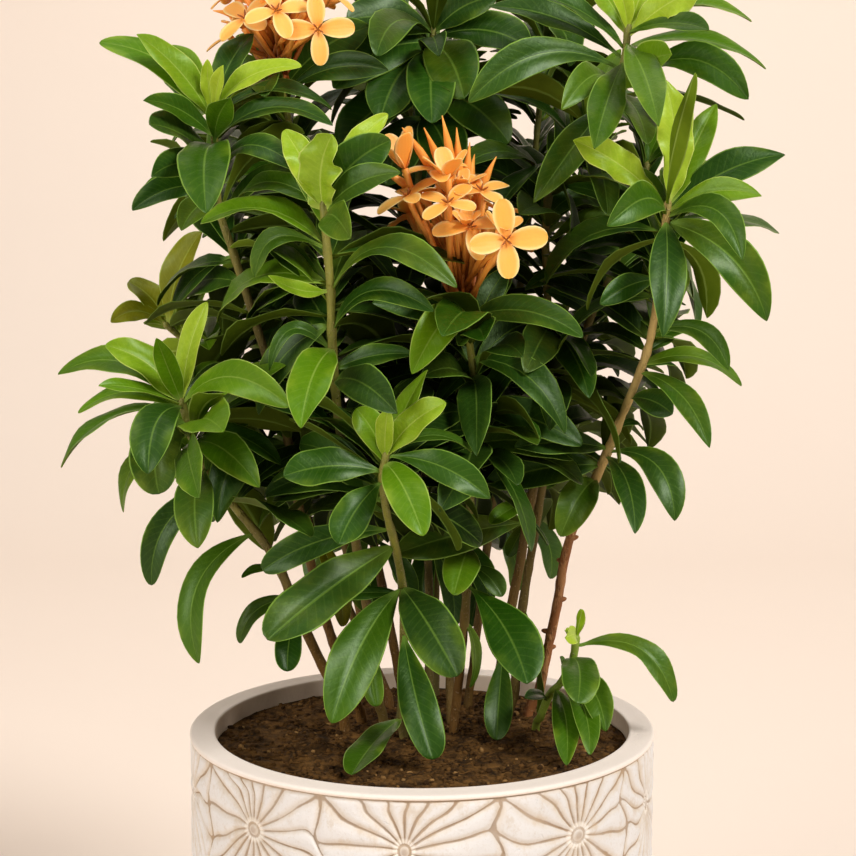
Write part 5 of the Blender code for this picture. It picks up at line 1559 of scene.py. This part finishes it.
def leaf_material():
    """Upper faces: grown and young greens, the young ones partly brightened as painted light shining through
    them, painted shade on leaves inside the bush, olive and sunlit patches, a pale rib and veins, and a pale
    margin that is partly a painted edge highlight.
    """
    sheen = {"Specular IOR Level": 0.28, "Specular Tint": LEAF_SHEEN, "Coat Roughness": 0.3}
    s = Shading("leaf_blade", sheen)
    tone, chance, other = s.kind()
    age_and_shade = s.effect("leaf_age_and_shade")
    _, along, edge, rib, margin = s.effect("rib_and_margin")
    climb = s.math("SUBTRACT", s.times(along, 15), s.times(edge, 2))
    phase = s.math("ABSOLUTE", s.math("SUBTRACT", s.math("FRACT", climb), 0.5))
    vein = s.times(s.step(0.03, 0.13, phase, 1, 0), s.step(0.95, 0.6, edge))
    clouds = s.noise(60, 4, 0.6)
    shade = s.plus(s.times(chance, 0.5), s.times(clouds, 0.5))
    shade = s.plus(shade, s.scaled(s.noise(420, 3, 0.6), 0.5, -0.22))
    mature = s.mix(other, (20, 50, 3), (29, 50, 12))
    mature = s.mix(shade, mature, s.mix(other, (41, 81, 7), (48, 79, 21)))
    olive = s.times(s.step(0.55, 1, chance), s.step(0.3, 0.7, clouds))
    mature = s.tint(mature, (olive, 0.55, (84, 92, 16)))
    # Painted shade: leaves that reach inside the bush are darkened towards a near-black green
    mature = s.mix(age_and_shade["Painted Shade"], mature, (14, 30, 3))
    colour = s.mix(age_and_shade["Grown"], mature, s.mix(shade, (58, 102, 2), (104, 142, 8)))
    # Young yellow-green: partly the young leaves' own colour and partly painted light shining through them
    colour = s.mix(age_and_shade["Young"], colour, s.mix(shade, (126, 158, 8), (190, 210, 62)))
    yellow = s.mix(clouds, (84, 90, 4), (150, 138, 14))
    colour = s.tint(colour, (s.step(1.2, 1.8, other), 0.85, yellow))
    sunlit = s.times(s.step(0.35, 1, edge), s.step(0.45, 0.75, clouds))
    colour = s.tint(colour, (sunlit, 0.4, s.mix(tone, (86, 124, 14), (206, 216, 70))))
    # The pale margin is partly the leaf's own paler edge and partly a painted highlight along its lit edge
    pale = s.mix(age_and_shade["Pale"], (136, 172, 66), (222, 232, 124))
    colour = s.tint(colour, (margin, 0.8, pale), (vein, 0.05, pale),
                    (rib, s.scaled(along, -0.3, 0.45), pale), (s.step(0.16, 0, along), 0.6, pale))
    leather = s.noise(700, 2, 0.6)
    roughness = s.scaled(clouds, 0.24, s.scaled(leather, 0.2, 0.2))
    height = s.plus(s.times(vein, -0.12), s.times(leather, 1.5))
    height = s.plus(height, s.times(rib, -0.8))
    height = s.plus(height, s.times(s.noise(110, 2), 3))
    # No coat where painted shade darkens a leaf
    s.feed(s.shader.inputs["Coat Weight"], s.scaled(age_and_shade["Painted Shade"], -0.18, 0.18))
    return s.finish(colour, roughness, height, 0.0002, 0.6)


def leaf_underside_material():
    """Lower faces: duller and paler greens, darkened by painted shade inside the bush, with a broad pale rib.
    """
    s = Shading("leaf_underside", {"Specular IOR Level": 0.12, "Specular Tint": LEAF_SHEEN})
    chance = s.kind()[1]
    age_and_shade = s.effect("leaf_age_and_shade")
    rib_width = {"Rib Start": 0.03, "Rib End": 0.12, "Margin Start": 0.88, "Margin End": 1}
    blade = s.effect("rib_and_margin", rib_width)
    mottle = s.noise(200, 4, 0.6)
    shade = s.plus(s.times(chance, 0.5), s.times(mottle, 0.5))
    # Painted shade: the undersides of leaves inside the bush are darkened too
    old = s.mix(age_and_shade["Painted Shade"], s.mix(shade, (44, 62, 6), (88, 102, 24)), (18, 30, 5))
    colour = s.mix(age_and_shade["Pale"], old, s.mix(shade, (112, 150, 8), (166, 196, 50)))
    pale = s.mix(age_and_shade["Pale"], (116, 142, 62), (206, 216, 116))
    colour = s.tint(colour, (blade["Rib"], 0.6, pale), (blade["Margin"], 0.5, pale))
    return s.finish(colour, s.scaled(mottle, 0.2, 0.5), s.plus(mottle, blade["Rib"]), 0.0003, 0.5)


def bark_material():
    """Stems: woody up to a share of their height and green above it. The brown is rusty low on some stems,
    and on the reddest one it is a flaking red that turns tan halfway up."""
    s = Shading("stem_bark")
    share, bark, chance = s.kind()
    streaks = s.noise(260, 4, 0.6, (1, 1, 0.14))
    patches = s.noise(70, 3, 0.6)
    flakes = s.step(0.5, 0.6, s.noise(190, 4, 0.7, (1, 1, 0.3)))
    spots = s.step(0.62, 0.72, s.noise(900, 2))
    wood = s.mix(streaks, (60, 50, 14), (138, 122, 54))
    rusty = s.times(s.step(0.35, 0.65, chance), s.step(0.55, 0.2, share))
    wood = s.mix(rusty, wood, s.mix(streaks, (74, 44, 6), (148, 104, 34)))
    red = s.mix(streaks, (84, 42, 14), (176, 112, 56))
    red = s.tint(red, (flakes, 0.55, (196, 142, 88)))
    tan = s.mix(streaks, (132, 102, 46), (218, 190, 118))
    red = s.mix(s.step(0.36, 0.56, share), red, tan)
    wood = s.mix(s.step(0.55, 0.95, bark), wood, red)
    green = s.mix(streaks, (86, 92, 22), (152, 146, 58))
    fresh = s.mix(streaks, (104, 128, 22), (158, 180, 66))
    green = s.mix(s.step(0, -0.4, bark), green, fresh)
    climb = s.plus(share, s.scaled(patches, 0.5, -0.25))
    above = s.math("SUBTRACT", climb, s.plus(s.times(bark, 0.75), 0.12))
    green_share = s.step(0, 0.4, above)
    colour = s.tint(s.mix(green_share, wood, green), (spots, 0.35, (196, 168, 124)))
    height = s.plus(s.plus(streaks, flakes), s.times(spots, 0.6))
    return s.finish(colour, s.scaled(green_share, -0.22, 0.74), height, 0.0005, 0.8)


def petal_material():
    """Petals: soft orange with a pale margin, deeper orange at the base, partly their own colour and partly
    painted shade near the tube, deeper below, and fine lines along them.
    """
    s = Shading("petal", {"Subsurface Weight": 0.25, "Subsurface Radius": (1, 0.45, 0.12),
                          "Subsurface Scale": 0.002})
    _, chance, under = s.kind()
    across, along, _, _, margin = s.effect("rib_and_margin", {"Margin Start": 0.6, "Margin End": 1})
    clouds = s.noise(140, 3)
    blend = s.plus(s.times(chance, 0.55), s.times(clouds, 0.5))
    colour = s.mix(blend, (253, 166, 60), (255, 190, 94))
    # Deeper orange towards the base: partly the petal's own colour, partly painted shade near the tube
    colour = s.tint(colour, (margin, 0.75, (255, 226, 158)),
                    (s.step(0.36, 0, along), 0.75, (240, 124, 16)), (under, 0.4, (232, 134, 44)))
    lines = s.math("SINE", s.scaled(clouds, 9, s.times(across, 34)))
    height = s.plus(s.times(lines, 0.12), s.noise(500, 2))
    return s.finish(colour, s.scaled(clouds, 0.2, 0.42), height, 0.0002, 0.5)


def flower_tube_material():
    """Tubes, buds and stamens: orange, turned dark brown by painted shade the deeper in the head, and brown
    on its stalk.
    """
    s = Shading("flower_tube")
    depth, _, stalk = s.kind()
    streaks = s.noise(500, 3, 0.5, (1, 1, 0.3))
    colour = s.mix(streaks, (240, 138, 30), (255, 184, 84))
    # Painted shade: the tubes turn dark brown deep inside the head
    colour = s.mix(s.step(0.35, 0.85, depth), colour, s.mix(streaks, (104, 50, 4), (176, 92, 14)))
    colour = s.tint(colour, (stalk, 0.7, (112, 74, 18)))
    return s.finish(colour, s.scaled(streaks, 0.2, 0.4), streaks, 0.0002, 0.5)


def pot_material():
    """Worn pale stone: brown in the grooves with a ragged fringe, stained and specked between them, paler
    round the eyes, plain on the rim and foot and warmer inside."""
    s = Shading("whitewashed_stone")
    distance, radial, plain = s.kind()
    near = s.plus(distance, s.scaled(s.noise(260, 4, 0.6), 0.8, -0.4))
    near = s.plus(near, s.scaled(s.noise(45, 2), 0.9, -0.4))
    grain = s.noise(900, 5, 0.65)
    worn = s.noise(130, 5, 0.7, (1, 1, 0.7))
    colour = s.mix(s.noise(22, 4, 0.6), (212, 208, 204), (233, 230, 228))
    stain = s.times(s.step(0.5, 0.68, worn), s.math("SUBTRACT", 1, s.times(plain, 0.75)))
    colour = s.tint(colour, (stain, 0.5, (198, 180, 156)), (s.step(0.52, 0.7, grain), 0.22, (188, 168, 142)))
    fringe = s.step(0.6, 3.4, near, 1, 0)
    colour = s.tint(colour, (fringe, s.scaled(worn, 1.2, -0.1), (208, 190, 166)))
    brown = s.mix(worn, (132, 102, 70), (184, 156, 124))
    fade = s.scaled(s.step(0.3, 0.62, s.noise(34, 3)), -0.3, 0.95)
    colour = s.tint(colour, (s.step(0.3, 0.85, near, 1, 0), fade, brown))
    halo = s.times(s.step(2.9, 3.4, radial), s.step(5.4, 4.2, radial))
    colour = s.tint(colour, (halo, 0.5, (250, 243, 232)), (s.step(2, 0.6, radial), 0.6, brown),
                    (plain, 0.7, (243, 227, 212)))
    inside = s.mix(worn, (204, 180, 156), (236, 216, 194))
    colour = s.mix(s.step(40, 50, radial), colour, inside)
    pits = s.step(0.66, 0.74, s.noise(520, 2))
    height = s.plus(s.times(grain, 0.5), s.times(worn, 0.8))
    height = s.math("SUBTRACT", height, s.times(pits, 0.5))
    return s.finish(colour, s.scaled(grain, 0.25, 0.6), height, 0.0005, 0.6)


def soil_material():
    """Damp soil with clods, pale specks and fibres, and loose chips of their own browns."""
    s = Shading("potting_soil", {"Specular IOR Level": 0.15})
    chance, other, loose = s.kind()
    clods = s.noise(160, 6, 0.7)
    fine = s.noise(1400, 4, 0.7)
    fibres = s.noise(620, 3, 0.6, (1, 0.2, 1))
    colour = s.mix(s.step(0.3, 0.75, clods), (32, 20, 6), (128, 90, 44))
    colour = s.tint(colour, (s.step(0.62, 0.75, fine), 0.5, (134, 98, 60)),
                    (s.step(0.64, 0.72, fibres), 0.35, (112, 82, 50)))
    chip = s.mix(chance, (40, 24, 8), (112, 78, 38))
    chip = s.mix(s.step(0.93, 0.99, other), chip, (168, 128, 76))
    colour = s.tint(colour, (loose, 0.85, chip))
    height = s.plus(clods, s.times(fine, 0.4))
    return s.finish(colour, s.scaled(fine, 0.2, 0.78), height, 0.0012, 0.9)


def young_share_and_shade(stem, row, leaf, draw):
    """How young a leaf of the rule is: younger by the cube of its height on the stem. It is then lowered, to
    below 0, by how far it reaches inside the bush, which the leaf materials turn into painted shade."""
    height = (leaf.base.z - stem.seen_points[0].z) / (stem.tip.z - stem.seen_points[0].z)
    light = row["young"] * height ** 3 * 1.4 + draw.uniform(0.0, 0.22)
    x, y, z = BUSH_MIDDLE
    out = math.hypot(leaf.tip.x - x, leaf.tip.y - y, max(0.0, leaf.tip.z - z))
    # The tone is lowered by up to 0.5 inside the bush, which shows as painted shade
    return min(1.0, light) - 0.5 * min(1.0, max(0.0, (OUTER_REACH - out) / SHADE_RANGE))


def make_plant():
    """One piece for each stem with its leaves, and one for each flower head."""
    stems, heads, leaves, grown = lay_out()
    foliage = [leaf_material(), bark_material(), leaf_underside_material()]
    blossom = [petal_material(), flower_tube_material()]
    for name, stem in stems.items():
        row = SHOOTS[name]
        draw = random.Random(name + " looks")
        surface = Surface()
        for number, leaf in enumerate(leaves[name]):
            crumpled = number in CRUMPLED.get(name, ())
            add_leaf(surface, leaf, LEAF_BLADE, draw, name in YELLOWED, crumpled)
        for leaf in grown[name]:
            leaf.tone = young_share_and_shade(stem, row, leaf, draw)
            add_leaf(surface, leaf, PLAIN_BLADE, draw)
        add_stem(surface, stem, row, leaves[name], draw)
        for x, z, near in row.get("knobs", ()):
            add_bark_knob(surface, stem, x, z, near, draw)
        surface.build(name + "_leaves", foliage, name)
    for name, head in heads.items():
        row = HEADS[name]
        draw = random.Random(name + " looks")
        surface = Surface()
        add_core(surface, head)
        for flower in row["flowers"]:
            add_flower(surface, head, flower, draw)
        for *flower, rise in LATE_FLOWERS.get(name, ()):
            add_flower(surface, head, flower, draw, rise)
        fill_head(surface, head, row, draw)
        for tip in row["buds"]:
            add_bud(surface, head, tip, draw)
        surface.build(name + "_petals", blossom, name)


def placed_object(name, data):
    """A new object in the scene."""
    made = bpy.data.objects.new(name, data)
    bpy.context.scene.collection.objects.link(made)
    return made


def area_light(name, place, target, size, power, colour):
    """A round soft light that looks at its target."""
    lamp = bpy.data.lights.new(name, "AREA")
    lamp.shape = "DISK"
    lamp.size, lamp.energy, lamp.color = size, power, colour
    holder = placed_object(name, lamp)
    holder.location = place
    holder.rotation_euler = (Vector(target) - Vector(place)).to_track_quat("-Z", "Y").to_euler()


def make_backdrop():
    """A pale floor that turns up into a pale wall along a quarter of a circle."""
    flat = np.linspace(FLOOR_FRONT, WALL_FOOT, 12)
    bend = np.linspace(0.1, math.pi / 2, 12)
    depth = np.concatenate([flat, WALL_FOOT + WALL_BEND * np.sin(bend), [WALL_FOOT + WALL_BEND]])
    height = np.concatenate([np.zeros(12), WALL_BEND - WALL_BEND * np.cos(bend), [WALL_HEIGHT]])
    sides = (-STUDIO_HALF_WIDTH, STUDIO_HALF_WIDTH)
    points = [(x, float(y), float(z)) for y, z in zip(depth, height) for x in sides]
    faces = [(2 * i, 2 * i + 1, 2 * i + 3, 2 * i + 2) for i in range(len(depth) - 1)]
    mesh = bpy.data.meshes.new("studio_floor")
    mesh.from_pydata(points, [], faces)
    mesh.shade_smooth()
    s = Shading("studio_paper")
    colour = s.mix(s.noise(2.0, 2.0), (239, 223, 209), (241, 226, 212))
    mesh.materials.append(s.finish(colour, 0.9))
    floor = placed_object("studio_floor", mesh)


def make_studio():
    """The backdrop, soft lights, faint light all round, and the camera of the photograph."""
    make_backdrop()
    for light in LIGHTS:
        area_light(*light)
    world = bpy.data.worlds.new("studio_air")
    world.use_nodes = True
    background = world.node_tree.nodes["Background"]
    background.inputs["Color"].default_value = (*linear(255, 247, 238), 1)
    background.inputs["Strength"].default_value = WORLD_STRENGTH
    bpy.context.scene.world = world
    lens = bpy.data.cameras.new("camera")
    lens.lens, lens.sensor_width = LENS, SENSOR
    camera = placed_object("camera", lens)
    level = Matrix.Rotation(math.radians(90 - LOOKING_DOWN), 4, "X")
    camera.matrix_world = Matrix.Translation(VIEWPOINT) @ level
    bpy.context.scene.camera = camera
    bpy.context.scene.view_settings.view_transform = "Standard"


make_mottle_group()
make_rib_and_margin_group()
make_leaf_age_and_shade_group()
make_studio()
make_pot([pot_material()])
make_soil([soil_material()])
make_plant()
